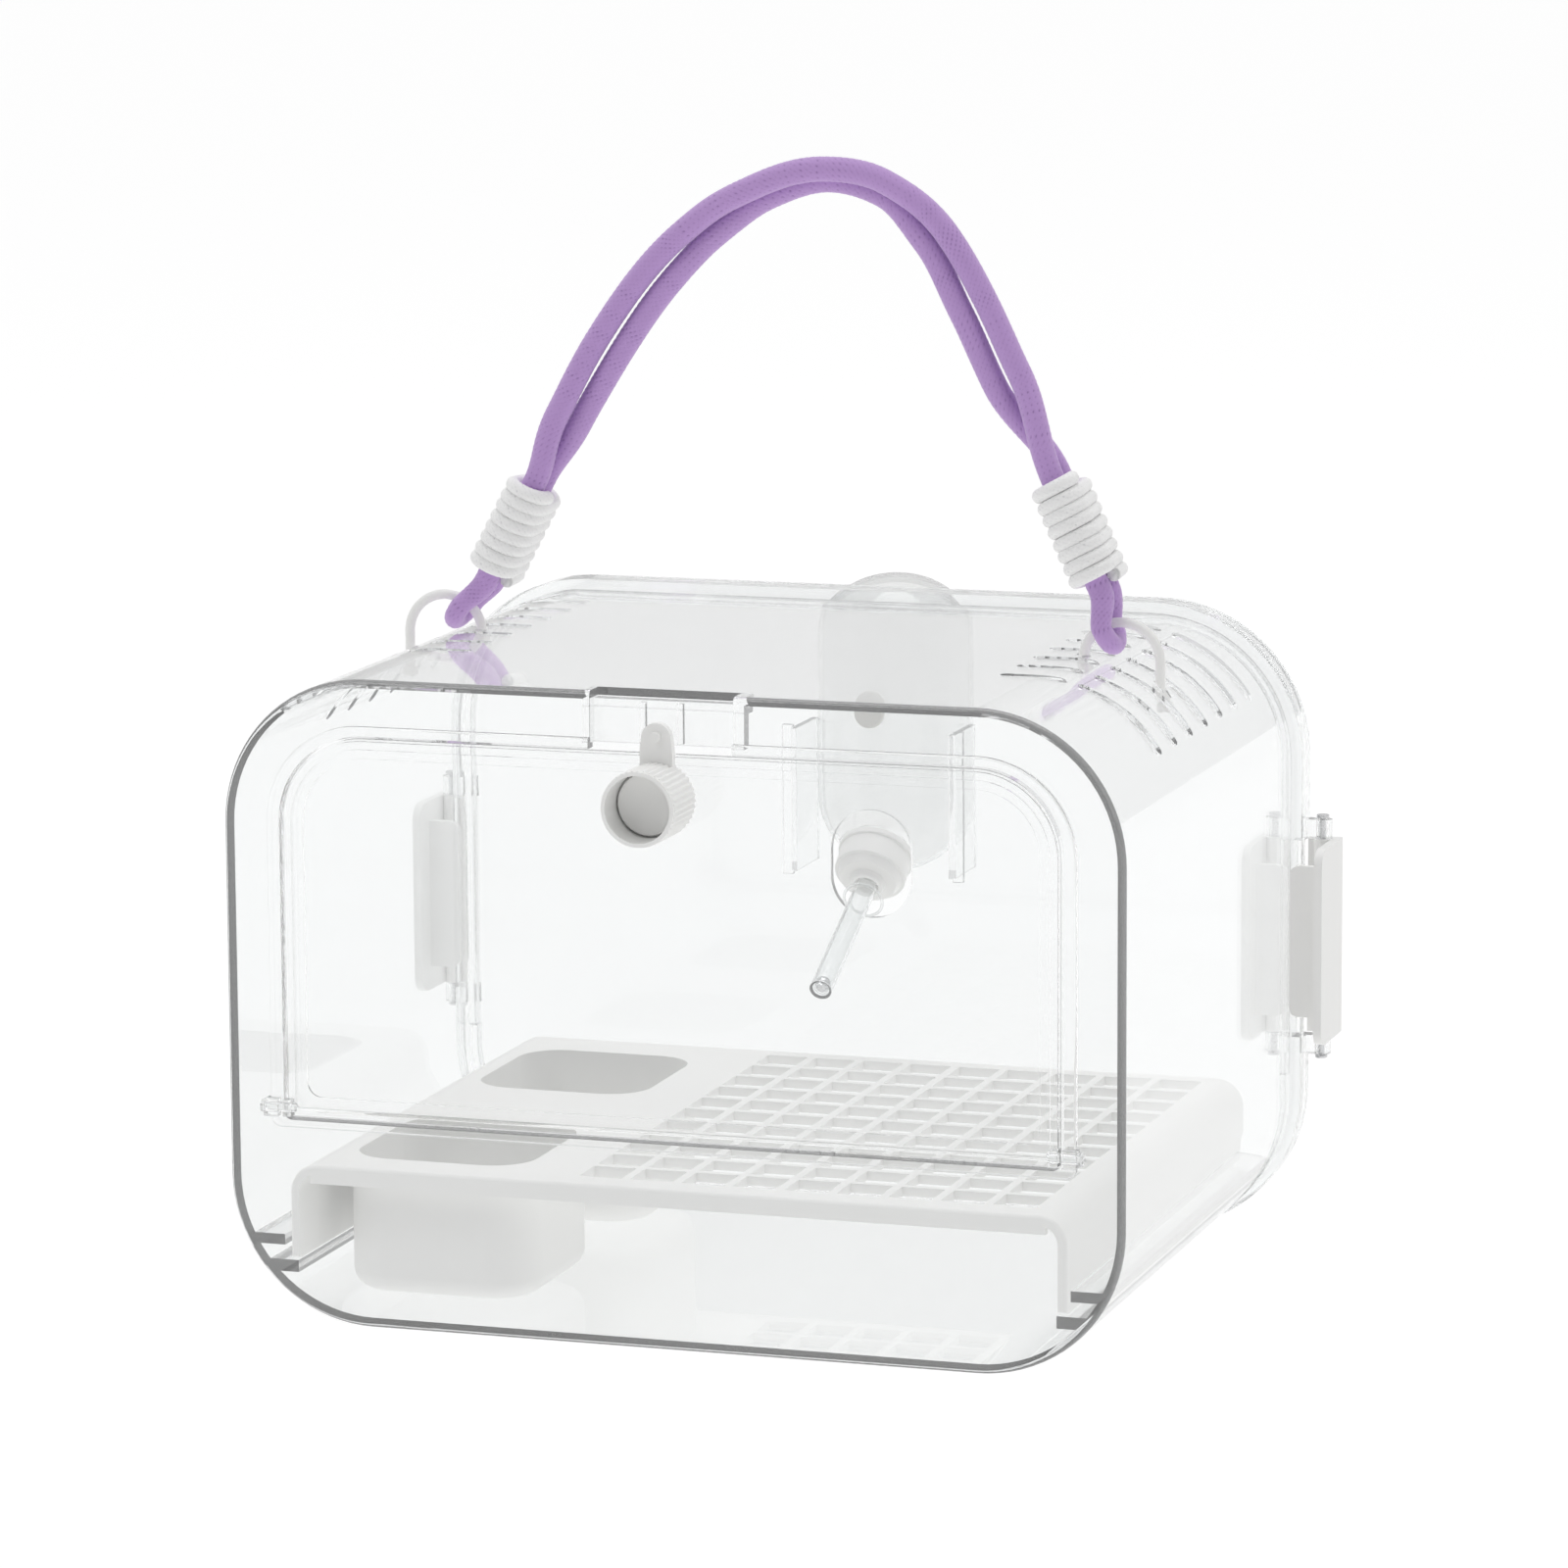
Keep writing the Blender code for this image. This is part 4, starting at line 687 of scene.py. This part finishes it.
for s, tag in ((-1, "left"), (1, "right")):
    x = sorted((s * 127.2, s * 145))
    boolean(lid, rbox("clip_relief_" + tag, x[0], x[1], LID_Y0 - 1, LID_Y1 + 2,
                      CLIP_Z0 - 0.3, CLIP_Z1 + 0.3))
    for j, z in enumerate((CLIP_Z0 - 0.3 - KNUCKLE_H, CLIP_Z1 + 0.3)):
        x = sorted((s * 126.0, s * CLIP_PIN_X))
        boolean(lid, rbox("knuckle_web_%s_%d" % (tag, j), x[0], x[1],
                          CLIP_PIN_Y - 2.2, CLIP_PIN_Y + 1.9, z, z + KNUCKLE_H), 'UNION')
        boolean(lid, cyl("knuckle_%s_%d" % (tag, j),
                         (s * CLIP_PIN_X, CLIP_PIN_Y, z),
                         (s * CLIP_PIN_X, CLIP_PIN_Y, z + KNUCKLE_H), 2.7, 72), 'UNION')
    boolean(lid, cyl("clip_bore_" + tag, (s * CLIP_PIN_X, CLIP_PIN_Y, 40),
                     (s * CLIP_PIN_X, CLIP_PIN_Y, 130), 1.25, 72))
    x = sorted((s * 23.3, s * 25.2))
    boolean(lid, rbox("bottle_cheek_" + tag, x[0], x[1], LID_Y0 + 1.2, 112.0, 98.0,
                      140.5), 'UNION')
    x = sorted((s * 24.5, s * 27.6))
    boolean(lid, rbox("cheek_foot_" + tag, x[0], x[1], LID_Y0 + 1.2, LID_Y0 + 4.2,
                      97.0, 141.5), 'UNION')
boolean(lid, rbox("bottle_port", -12.3, 12.3, LID_Y0 - 3, LID_Y1, 85.5, 117.5,
                  top=12.0, bottom=12.0, segments=20))
boolean(lid, cyl("hook_hole", (0, 80, 146.5), (0, 100, 146.5), 2.4, 72))
keep(lid, "rear_lid", M_LID, "clear_lid", "lid")

# the button that steadies the bottle against the lid
hook = cyl("bottle_button", (0, LID_Y0 - 0.9, 146.5), (0, LID_Y0 + LID_PLATE + 0.2, 146.5),
           2.0, 72)
boolean(hook, cyl("button_head", (0, LID_Y0 - 2.0, 146.5), (0, LID_Y0 - 0.35, 146.5),
                  4.3, 72, r2=4.6), 'UNION')
keep(hook, "bottle_button", M_BUTTON, "grey_button", "lid", bevel=0.3)

# ---------------------------------------------------------------- clips
for s, tag in ((-1, "left"), (1, "right")):
    x = sorted((s * (CLIP_OUT - CLIP_T), s * CLIP_OUT))
    clip = rbox("clip_" + tag, x[0], x[1], CLIP_FRONT, 97.4, CLIP_Z0, CLIP_Z1)
    bm = bmesh.new()
    bm.from_mesh(clip.data)
    bevel_where(bm, 0, lambda m: m[1] < 80, 5.0, 14)
    clip.data = mesh_from_bm("clip_" + tag, bm)
    x = sorted((s * 127.95, s * (CLIP_OUT - 1.0)))
    hk = rbox("clip_hook_" + tag, x[0], x[1], HOOK_Y0, HOOK_Y1, HOOK_Z0, HOOK_Z1)
    bm = bmesh.new()
    bm.from_mesh(hk.data)
    bevel_where(bm, 1, lambda m: abs(m[0]) < 130, 2.6, 10)
    hk.data = mesh_from_bm("clip_hook_" + tag, bm)
    boolean(clip, hk, 'UNION')
    x = sorted((s * 129.7, s * (CLIP_OUT - 0.8)))
    boolean(clip, rbox("clip_back_" + tag, x[0], x[1], 95.0, 97.4, CLIP_Z0, CLIP_Z1),
            'UNION')
    boolean(clip, cyl("clip_barrel_" + tag, (s * CLIP_PIN_X, CLIP_PIN_Y, CLIP_Z0),
                      (s * CLIP_PIN_X, CLIP_PIN_Y, CLIP_Z1), 2.5, 72), 'UNION')
    boolean(clip, cyl("clip_pin_bore_" + tag, (s * CLIP_PIN_X, CLIP_PIN_Y, 40),
                      (s * CLIP_PIN_X, CLIP_PIN_Y, 130), 1.25, 72))
    keep(clip, "clip_" + tag, M_CLIPS, "white_clips", "clip_" + tag)
    pin = cyl("clip_pin_" + tag, (s * CLIP_PIN_X, CLIP_PIN_Y, CLIP_Z0 - KNUCKLE_H - 0.9),
              (s * CLIP_PIN_X, CLIP_PIN_Y, CLIP_Z1 + KNUCKLE_H + 0.9), 0.9, 72)
    boolean(pin, cyl("clip_pin_top_" + tag, (s * CLIP_PIN_X, CLIP_PIN_Y, CLIP_Z1 + KNUCKLE_H + 0.65),
                     (s * CLIP_PIN_X, CLIP_PIN_Y, CLIP_Z1 + KNUCKLE_H + 1.6), 1.8, 72), 'UNION')
    boolean(pin, cyl("clip_pin_foot_" + tag, (s * CLIP_PIN_X, CLIP_PIN_Y, CLIP_Z0 - KNUCKLE_H - 1.6),
                     (s * CLIP_PIN_X, CLIP_PIN_Y, CLIP_Z0 - KNUCKLE_H - 0.65), 1.8, 72), 'UNION')
    keep(pin, "clip_pin_" + tag, M_PIN, "steel_pins", "lid", bevel=0.2)

# ---------------------------------------------------------------- water bottle
AX = Vector((0, -math.cos(NECK_ANGLE), -math.sin(NECK_ANGLE)))
SC = Vector((0, BOTTLE_Y, BOTTLE_C))


def along(d):
    return tuple(SC + AX * d)


def bottle_profile(r, top, cz):
    """From the middle of the domed top, down the side, to the lowest point."""
    dome = 18.0 * r / BOTTLE_R
    p = []
    for i in range(25):
        a = math.radians(90 - 90 * i / 24)
        p.append((r * math.cos(a) if i else 0.0, top - dome + dome * math.sin(a)))
    p.append((r, (top - dome + cz) / 2))
    for i in range(31):
        a = math.radians(-90 * i / 30)
        p.append((r * math.cos(a) if i < 30 else 0.0, cz + r * math.sin(a)))
    return p


bottle = turned("bottle_body_turned", bottle_profile(BOTTLE_R, BOTTLE_TOP, BOTTLE_C), 72)
bottle.location = (0, BOTTLE_Y * MM, 0)
inner = turned("bottle_inner_turned", bottle_profile(BOTTLE_R - BOTTLE_WALL,
               BOTTLE_TOP - BOTTLE_WALL, BOTTLE_C), 72)
inner.location = (0, BOTTLE_Y * MM, 0)
bpy.context.view_layer.update()
bottle_solid = applied(bottle, "bottle_body")
inner_solid = applied(inner, "bottle_inner")
for ob in (bottle, inner):
    bpy.data.objects.remove(ob, do_unlink=True)
boolean(bottle_solid, cyl("bottle_neck", along(19.0), along(31.0), 8.6, 72), 'UNION')
boolean(bottle_solid, inner_solid)
boolean(bottle_solid, cyl("neck_bore", along(14.0), along(34.0), 7.0, 72))
keep(bottle_solid, "bottle_body", M_BOTTLE, "clear_bottle", "bottle")

cap = cyl("bottle_cap", along(24.4), along(33.4), 10.6, 72)
boolean(cap, cyl("cap_flange", along(24.4), along(26.4), 11.3, 72), 'UNION')
boolean(cap, cyl("cap_nose", along(33.2), along(35.8), 9.6, 72, r2=8.4), 'UNION')
boolean(cap, cyl("cap_boss", along(35.4), along(38.0), 5.2, 72, r2=4.9), 'UNION')
boolean(cap, cyl("cap_bore", along(20.0), along(33.2), 9.0, 72))
boolean(cap, cyl("cap_tube_bore", along(30.0), along(40.0), SPOUT_R + 0.35, 72))
keep(cap, "bottle_cap", M_CAP, "white_cap", "bottle", bevel=0.3)

gasket = cyl("bottle_gasket", along(31.35), along(32.85), 8.2, 72)
boolean(gasket, cyl("gasket_hole", along(30.0), along(34.0), SPOUT_R + 0.35, 72))
keep(gasket, "bottle_gasket", M_GASKET, "silicone", "bottle", bevel=0.2)

tip_v = Vector(SPOUT_TIP)
bend = Vector(along(38.8))
run = (tip_v - bend).normalized()


def spout_path(extra_in, extra_out):
    """Straight through the cap, a soft bend, then straight to the tip."""
    p = [along(29.6 - extra_in), along(33.0), along(36.8)]
    a, b, c = Vector(along(37.6)), bend, bend + run * 1.8
    for i in range(1, 16):
        t = i / 16
        p.append(tuple(a * (1 - t) ** 2 + b * 2 * t * (1 - t) + c * t ** 2))
    p.append(tuple(bend + run * 6.0))
    p.append(tuple(bend + run * 24.0))
    p.append(tuple(tip_v + run * extra_out))
    return p


spout = tube("spout_tube", spout_path(0, 0), SPOUT_R, res=12)
boolean(spout, tube("spout_bore", spout_path(4, -0.9), SPOUT_BORE, res=12))
boolean(spout, cyl("spout_lip_bore", tuple(tip_v - run * 4), tuple(tip_v + run * 3), 1.95, 72))
keep(spout, "spout_tube", M_SPOUT, "clear_spout", "bottle")

ball_c = tip_v - run * (0.9 + 1.55)
bm = bmesh.new()
bmesh.ops.create_uvsphere(bm, u_segments=14, v_segments=20, radius=BALL_R * MM)
bmesh.ops.translate(bm, vec=ball_c * MM, verts=bm.verts)
ball = new_object("spout_ball", mesh_from_bm("spout_ball", bm), tools)
keep(ball, "spout_ball", M_BALL, "steel_ball", "ball")

RG = bend + run * 2.5 + Vector((0, 0, -1.9))
ring_pts = []
for i in range(96):
    a = math.tau * i / 96
    up = Vector((0, run.z, -run.y)).normalized()
    if up.z < 0:
        up = -up
    ring_pts.append(tuple(RG + Vector((1, 0, 0)) * 5.75 * math.cos(a)
                          + up * 5.75 * math.sin(a)))
sring = tube("spout_ring", ring_pts, 0.45, cyclic=True, res=6)
keep(sring, "spout_ring", M_RING, "clear_ring", "bottle")

# ---------------------------------------------------------------- handle rings
for s, tag in ((-1, "left"), (1, "right")):
    p = [(s * (RING_X - RING_R), RING_Y, 174.4), (s * (RING_X - RING_R), RING_Y, 176.6)]
    for i in range(49):
        a = math.radians(180 - 180 * i / 48)
        p.append((s * (RING_X + RING_R * math.cos(a)), RING_Y,
                  RING_Z + RING_R * math.sin(a)))
    p += [(s * (RING_X + RING_R), RING_Y, 172.0), (s * (RING_X + RING_R), RING_Y, 164.4)]
    ring = tube("ring_" + tag, p, RING_WIRE, res=8)
    boolean(ring, cyl("ring_foot_in_" + tag, (s * (RING_X - RING_R), RING_Y, 174.0),
                      (s * (RING_X - RING_R), RING_Y, 176.4), 2.2, 72), 'UNION')
    boolean(ring, cyl("ring_foot_out_" + tag, (s * (RING_X + RING_R), RING_Y, 163.8),
                      (s * (RING_X + RING_R), RING_Y, 166.2), 2.2, 72), 'UNION')
    keep(ring, "ring_" + tag, M_RINGS, "white_rings", "root")
# ---------------------------------------------------------------- rope handle
# Centre line of the doubled rope in the XZ plane, from the left ring to the
# right ring.
WL = (-92.7, RING_Z + math.sqrt(RING_R ** 2 - (RING_X - 92.7) ** 2))
WR = (95.0, RING_Z + math.sqrt(RING_R ** 2 - (RING_X - 95.0) ** 2))
WHIP_L = ((-85.5, 194.4), (-70.4, 223.2))
WHIP_R = ((94.3, 198.4), (80.4, 229.4))
GUIDE = [WL, WHIP_L[0], WHIP_L[1], (-61.4, 241.0), (-49.0, 262.0), (-35.0, 281.0),
         (-20.0, 295.5), (-4.0, 305.5), (13.5, 310.6), (31.5, 307.0), (46.0, 294.0),
         (57.0, 275.0), (66.5, 255.5), WHIP_R[1], WHIP_R[0], WR]


def spline_at(points, u):
    """Catmull-Rom through the points, with straight runs inside the whippings."""
    i = min(int(u), len(points) - 2)
    t = u - i
    p1, p2 = Vector(points[i]), Vector(points[i + 1])
    p0 = Vector(points[i - 1]) if i > 0 else p1 * 2 - p2
    p3 = Vector(points[i + 2]) if i + 2 < len(points) else p2 * 2 - p1
    if i in (1, len(points) - 3):
        return p1.lerp(p2, t)
    m1 = (p2 - p1) if i - 1 in (1, len(points) - 3) else (p2 - p0) * 0.5
    m2 = (p2 - p1) if i + 1 in (1, len(points) - 3) else (p3 - p1) * 0.5
    if i - 1 in (1, len(points) - 3):
        m1 = (p1 - p0).normalized() * (p2 - p1).length
    if i + 1 in (1, len(points) - 3):
        m2 = (p3 - p2).normalized() * (p2 - p1).length
    t2, t3 = t * t, t * t * t
    return (p1 * (2 * t3 - 3 * t2 + 1) + m1 * (t3 - 2 * t2 + t)
            + p2 * (-2 * t3 + 3 * t2) + m2 * (t3 - t2))


# how the pair of strands turns about the centre line: 0 is side by side in the
# plane of the arch, 90 is one in front of the other
TURN = [90, 90, 90, 42, 22, 22, 38, 58, 62, 50, 18, 4, 12, 90, 90, 90]
SPREAD = [LOOP_R, 3.72, 3.72, 3.85, 3.85, 3.8, 3.75, 3.72, 3.72, 3.72, 3.8, 4.0, 4.3,
          3.72, 3.72, LOOP_R]
SIZE = [LOOP_ROPE_R, 3.4, 3.4, ROPE_R, ROPE_R, ROPE_R, ROPE_R, ROPE_R, ROPE_R, ROPE_R,
        ROPE_R, ROPE_R, ROPE_R, 3.4, 3.4, LOOP_ROPE_R]


def ease(table, u):
    i = min(int(u), len(table) - 2)
    t = u - i
    t = t * t * (3 - 2 * t)
    return table[i] * (1 - t) + table[i + 1] * t


def strand(side, steps_per=100):
    out = []
    total = (len(GUIDE) - 1) * steps_per
    for k in range(total + 1):
        u = k / steps_per
        c = spline_at(GUIDE, u)
        d = (spline_at(GUIDE, min(u + 0.02, len(GUIDE) - 1)) -
             spline_at(GUIDE, max(u - 0.02, 0))).normalized()
        nrm = Vector((-d.y, d.x))
        a = math.radians(ease(TURN, u))
        sp = ease(SPREAD, u) * side
        out.append(((c.x + nrm.x * math.cos(a) * sp, RING_Y - math.sin(a) * sp,
                     c.y + nrm.y * math.cos(a) * sp), ease(SIZE, u)))
    return out


def loop_end(w, ring_x, side_from):
    """Half a turn of rope under the ring, from one strand to the other."""
    t = Vector((ring_x - w[0], RING_Z - w[1])).normalized()
    out = []
    for i in range(1, 48):
        a = math.pi * i / 48
        off = t * (LOOP_R * math.sin(a))
        out.append(((w[0] + off.x, RING_Y - side_from * LOOP_R * math.cos(a),
                     w[1] + off.y), LOOP_ROPE_R))
    return out



def frames(pts, cyclic=False):
    """Tangents and a twist-free pair of side directions along a line."""
    n = len(pts)
    V = [Vector(p) for p in pts]
    T = []
    for i in range(n):
        a = V[i - 1] if (cyclic or i) else V[i]
        b = V[(i + 1) % n] if (cyclic or i < n - 1) else V[i]
        T.append((b - a).normalized())
    u = T[0].orthogonal().normalized()
    U = []
    for i in range(n):
        u = (u - T[i] * u.dot(T[i])).normalized()
        U.append(u.copy())
    if cyclic:                   # take up the leftover twist evenly
        end = (U[-1] - T[0] * U[-1].dot(T[0])).normalized()
        gap = math.atan2(end.cross(U[0]).dot(T[0]), end.dot(U[0]))
        for i in range(n):
            U[i] = Matrix.Rotation(gap * i / n, 3, T[i]) @ U[i]
    return V, T, U


def cord_mesh(name, pts, radii, relief, around=36, cyclic=False, flat=None):
    """A cord whose surface carries real relief: relief(s, angle) in 0..1 gives
    how far out each point stands; `flat` is not used."""
    V, T, U = frames(pts, cyclic)
    s, dist = 0.0, []
    for i, v in enumerate(V):
        if i:
            s += (v - V[i - 1]).length
        dist.append(s)
    total = s + ((V[0] - V[-1]).length if cyclic else 0.0)
    verts, vals = [], []
    for i, v in enumerate(V):
        W = T[i].cross(U[i])
        for k in range(around):
            a = math.tau * k / around
            h, depth = relief(dist[i], a, total)
            r = radii[i] - depth * (1 - h)
            verts.append((v + (U[i] * math.cos(a) + W * math.sin(a)) * r) * MM)
            vals.append(h)
    n = len(V)
    faces = []
    for i in range(n if cyclic else n - 1):
        j = (i + 1) % n
        for k in range(around):
            l = (k + 1) % around
            faces.append((i * around + k, i * around + l, j * around + l, j * around + k))
    if not cyclic:
        faces.append(tuple(range(around))[::-1])
        faces.append(tuple((n - 1) * around + k for k in range(around)))
    me = bpy.data.meshes.new(name)
    me.from_pydata([tuple(p) for p in verts], [], faces)
    # the relief height also goes to the material, which uses it to paint shade into the valleys
    at = me.attributes.new("relief", 'FLOAT', 'POINT')
    at.data.foreach_set("value", vals)
    bm = bmesh.new()
    bm.from_mesh(me)
    bmesh.ops.recalc_face_normals(bm, faces=bm.faces)
    bm.to_mesh(me)
    bm.free()
    me.shade_smooth()
    return me


def stand_for(me, name, node, mat, body):
    ob = bpy.data.objects.new(name, me)
    parts.objects.link(ob)
    me.materials.append(mat)
    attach(ob, body)
    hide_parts(node)
    return ob


def braid(plaits, lay, depth):
    """Two families of yarns wound opposite ways, over one and under one."""
    def f(s, a, total):
        turns = round(total / lay)
        w = s / total * turns
        p = plaits * a / math.tau
        u, v = p + w * plaits / 2, p - w * plaits / 2
        fu, fv = u - math.floor(u) - 0.5, v - math.floor(v) - 0.5
        over = (math.floor(u) + math.floor(v)) % 2
        hu = math.sqrt(max(0.0, 1 - (2 * fu) ** 2))
        hv = math.sqrt(max(0.0, 1 - (2 * fv) ** 2))
        h = max(hu, 0.72 * hv) if over else max(hv, 0.72 * hu)
        return h, depth
    return f


front = strand(1)
back = strand(-1)
rope_pts = front + loop_end(WR, RING_X, 1) + back[::-1] + loop_end(WL, -RING_X, -1)


def resample(pts, step):
    out, acc = [pts[0]], 0.0
    for a, b in zip(pts[:-1], pts[1:]):
        acc += (Vector(b[0]) - Vector(a[0])).length
        if acc >= step:
            out.append(b)
            acc = 0.0
    return out


rope_pts = resample(rope_pts, 0.42)
stand_for(cord_mesh("rope", [p for p, r in rope_pts], [r for p, r in rope_pts],
                    braid(12, 11.0, 0.42), around=48, cyclic=True),
          "vis_handle_rope", "handle_rope", M_ROPE, "handle")

# the white cord wound round both strands
CORD_R, TURNS = 2.0, 8
for tag, (a, b) in (("left", WHIP_L), ("right", WHIP_R)):
    va, vb = Vector((a[0], 0, a[1])), Vector((b[0], 0, b[1]))
    axis = (vb - va).normalized()
    mid = (va + vb) / 2 + Vector((0, RING_Y, 0))
    half = (vb - va).length / 2 - 0.6 - CORD_R
    x_dir = Vector((0, 1, 0)).cross(axis)
    rc, off = 7.2 - CORD_R * 0.93, 3.7
    straight, bend_len = 2 * off, math.pi * rc
    loop = 2 * straight + 2 * bend_len
    pts = []
    N = TURNS * 150
    for i in range(N + 1):
        t = i / N
        q = (t * TURNS * loop) % loop
        if q < straight:
            x, y = rc, -off + q
        elif q < straight + bend_len:
            an = (q - straight) / rc
            x, y = rc * math.cos(an), off + rc * math.sin(an)
        elif q < 2 * straight + bend_len:
            x, y = -rc, off - (q - straight - bend_len)
        else:
            an = math.pi + (q - 2 * straight - bend_len) / rc
            x, y = rc * math.cos(an), -off + rc * math.sin(an)
        wob = 0.16 * math.sin(t * TURNS * 2.3 + (1 if tag == "left" else 2.2))
        pts.append(tuple(mid + x_dir * x + Vector((0, 1, 0)) * y
                         + axis * (-half + 2 * half * t + wob)))
    stand_for(cord_mesh("whip_" + tag, pts, [CORD_R] * len(pts), braid(8, 5.5, 0.32),
                        around=28),
              "vis_whipping_" + tag, "whipping_" + tag, M_CORD, "handle")

# ---------------------------------------------------------------- floor platform
tray = rbox("floor_platform", -TRAY_HALF, TRAY_HALF, TRAY_Y0, TRAY_Y1, TRAY_BOTTOM,
            TRAY_TOP, top=TRAY_R, segments=16, soft=(-1, 1.2, 5))
boolean(tray, rbox("platform_under", -TRAY_HALF + TRAY_T, TRAY_HALF - TRAY_T,
                   TRAY_Y0 - 5, TRAY_Y1 + 5, TRAY_BOTTOM - 10, TRAY_TOP - TRAY_T,
                   top=TRAY_R - TRAY_T, segments=16))
boolean(tray, rbox("platform_lip", -TRAY_HALF + 6, TRAY_HALF - 6, TRAY_Y0 + 0.15,
                   TRAY_Y0 + 2.6, TRAY_TOP - 5.2, TRAY_TOP - 1.8), 'UNION')
for k, (by0, by1) in enumerate(BOWL_Y):
    bm = box_bm(BOWL_X0, BOWL_X1, by0, by1, BOWL_BOTTOM, TRAY_TOP - 1.2)
    bevel_where(bm, 2, lambda m: True, 14.0, 16)
    edges = [e for e in bm.edges if all(abs(v.co.z / MM - BOWL_BOTTOM) < 1e-3 for v in e.verts)]
    bmesh.ops.bevel(bm, geom=edges, offset=5.5 * MM, segments=8, profile=0.5,
                    affect='EDGES', clamp_overlap=False)
    boolean(tray, new_object("bowl_out_%d" % k, mesh_from_bm("bowl_out_%d" % k, bm), tools),
            'UNION')
    t = 1.9
    bm = box_bm(BOWL_X0 + t, BOWL_X1 - t, by0 + t, by1 - t, BOWL_BOTTOM + t, TRAY_TOP + 8)
    bevel_where(bm, 2, lambda m: True, 14.0 - t, 16)
    edges = [e for e in bm.edges if all(abs(v.co.z / MM - BOWL_BOTTOM - t) < 1e-3 for v in e.verts)]
    bmesh.ops.bevel(bm, geom=edges, offset=(5.5 - t) * MM, segments=8, profile=0.5,
                    affect='EDGES', clamp_overlap=False)
    boolean(tray, new_object("bowl_in_%d" % k, mesh_from_bm("bowl_in_%d" % k, bm), tools))
bm = bmesh.new()
for i in range(GRID_NX):
    for j in range(GRID_NY):
        x0 = GRID_X0 + GRID_PX * i + GRID_BAR / 2
        y0 = GRID_Y0 + GRID_PY * j + GRID_BAR / 2
        c = bmesh.ops.create_cube(bm, size=1.0)
        for v in c["verts"]:
            v.co = Vector((x0 + (v.co.x + 0.5) * (GRID_PX - GRID_BAR),
                           y0 + (v.co.y + 0.5) * (GRID_PY - GRID_BAR),
                           TRAY_TOP - 6 + (v.co.z + 0.5) * 10)) * MM
boolean(tray, new_object("grid_holes", mesh_from_bm("grid_holes", bm), tools))
tray_piece = keep(tray, "floor_platform", M_TRAY, "white_platform", "platform", bevel=0.3)
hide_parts("platform_grid", "food_bowl_front", "food_bowl_rear")

for ob in list(tools.objects):
    bpy.data.objects.remove(ob, do_unlink=True)

# ---------------------------------------------------------------- camera
cam = bpy.data.cameras.new("camera")
cam.sensor_width = 36.0
cam.lens = 7077.03 / 1600 * 36.0
cam.clip_end = 50.0
cam.dof.use_dof = False
cam_ob = bpy.data.objects.new("camera", cam)
scene.collection.objects.link(cam_ob)
az, el, roll, dist = 0.318534, 0.171448, -0.0060836, 1.941626
zc = Vector((math.sin(az) * math.cos(el), -math.cos(az) * math.cos(el), math.sin(el)))
xc = Vector((0, 0, 1)).cross(zc).normalized()
yc = zc.cross(xc)
c, s = math.cos(roll), math.sin(roll)
xr, yr = xc * c + yc * s, yc * c - xc * s
cam_ob.matrix_world = Matrix.Translation(Vector((0.0022913, 0.0, 0.1400316)) + zc * dist) @ \
    Matrix((xr, yr, zc)).transposed().to_4x4()
scene.camera = cam_ob

# ---------------------------------------------------------------- studio
bm = bmesh.new()
bmesh.ops.create_grid(bm, x_segments=1, y_segments=1, size=60.0)
bmesh.ops.translate(bm, vec=(0, 0, -0.0002), verts=bm.verts)
floor_me = bpy.data.meshes.new("floor")
bm.to_mesh(floor_me)
bm.free()
floor = bpy.data.objects.new("floor", floor_me)
scene.collection.objects.link(floor)
fm, nt, p = base_material("floor_white")
p.inputs["Base Color"].default_value = (0.18, 0.18, 0.18, 1)
p.inputs["Roughness"].default_value = 0.9
p.inputs["Specular IOR Level"].default_value = 0.1
p.inputs["Emission Color"].default_value = (1, 1, 1, 1)
p.inputs["Emission Strength"].default_value = 0.86
floor_me.materials.append(fm)

# a bright room with a darker side behind the viewer, so clear edges draw lines
world = bpy.data.worlds.new("studio")
scene.world = world
world.use_nodes = True
nt = world.node_tree
nt.nodes.clear()
out = nt.nodes.new("ShaderNodeOutputWorld")
bg = nt.nodes.new("ShaderNodeBackground")
tc = nt.nodes.new("ShaderNodeTexCoord")
sep = nt.nodes.new("ShaderNodeSeparateXYZ")
ramp = nt.nodes.new("ShaderNodeValToRGB")
mr = nt.nodes.new("ShaderNodeMapRange")
mr.inputs["From Min"].default_value = -1.0
mr.inputs["From Max"].default_value = 1.0
e = ramp.color_ramp.elements
e[0].position, e[0].color = 0.14, (0.20, 0.20, 0.21, 1)
e[1].position, e[1].color = 0.44, (1, 1, 1, 1)
nt.links.new(tc.outputs["Generated"], sep.inputs["Vector"])
nt.links.new(sep.outputs["Y"], mr.inputs["Value"])
nt.links.new(mr.outputs["Result"], ramp.inputs["Fac"])
nt.links.new(ramp.outputs["Color"], bg.inputs["Color"])
nt.links.new(bg.outputs["Background"], out.inputs["Surface"])
bg.inputs["Strength"].default_value = 0.72


def area(name, loc, target, size, power):
    li = bpy.data.lights.new(name, 'AREA')
    li.shape = 'RECTANGLE'
    li.size, li.size_y = size
    li.energy = power
    ob = bpy.data.objects.new(name, li)
    ob.location = loc
    ob.rotation_euler = (Vector(target) - Vector(loc)).to_track_quat('-Z', 'Y').to_euler()
    scene.collection.objects.link(ob)
    return ob


area("key", (-1.1, -1.3, 1.7), (0, 0, 0.12), (1.2, 1.0), 10)
area("side", (1.7, -0.9, 1.1), (0, 0, 0.12), (1.0, 1.0), 2.5)
area("top", (0.1, 0.3, 2.2), (0, 0, 0.1), (1.6, 1.6), 15)

scene.view_settings.view_transform = 'Standard'
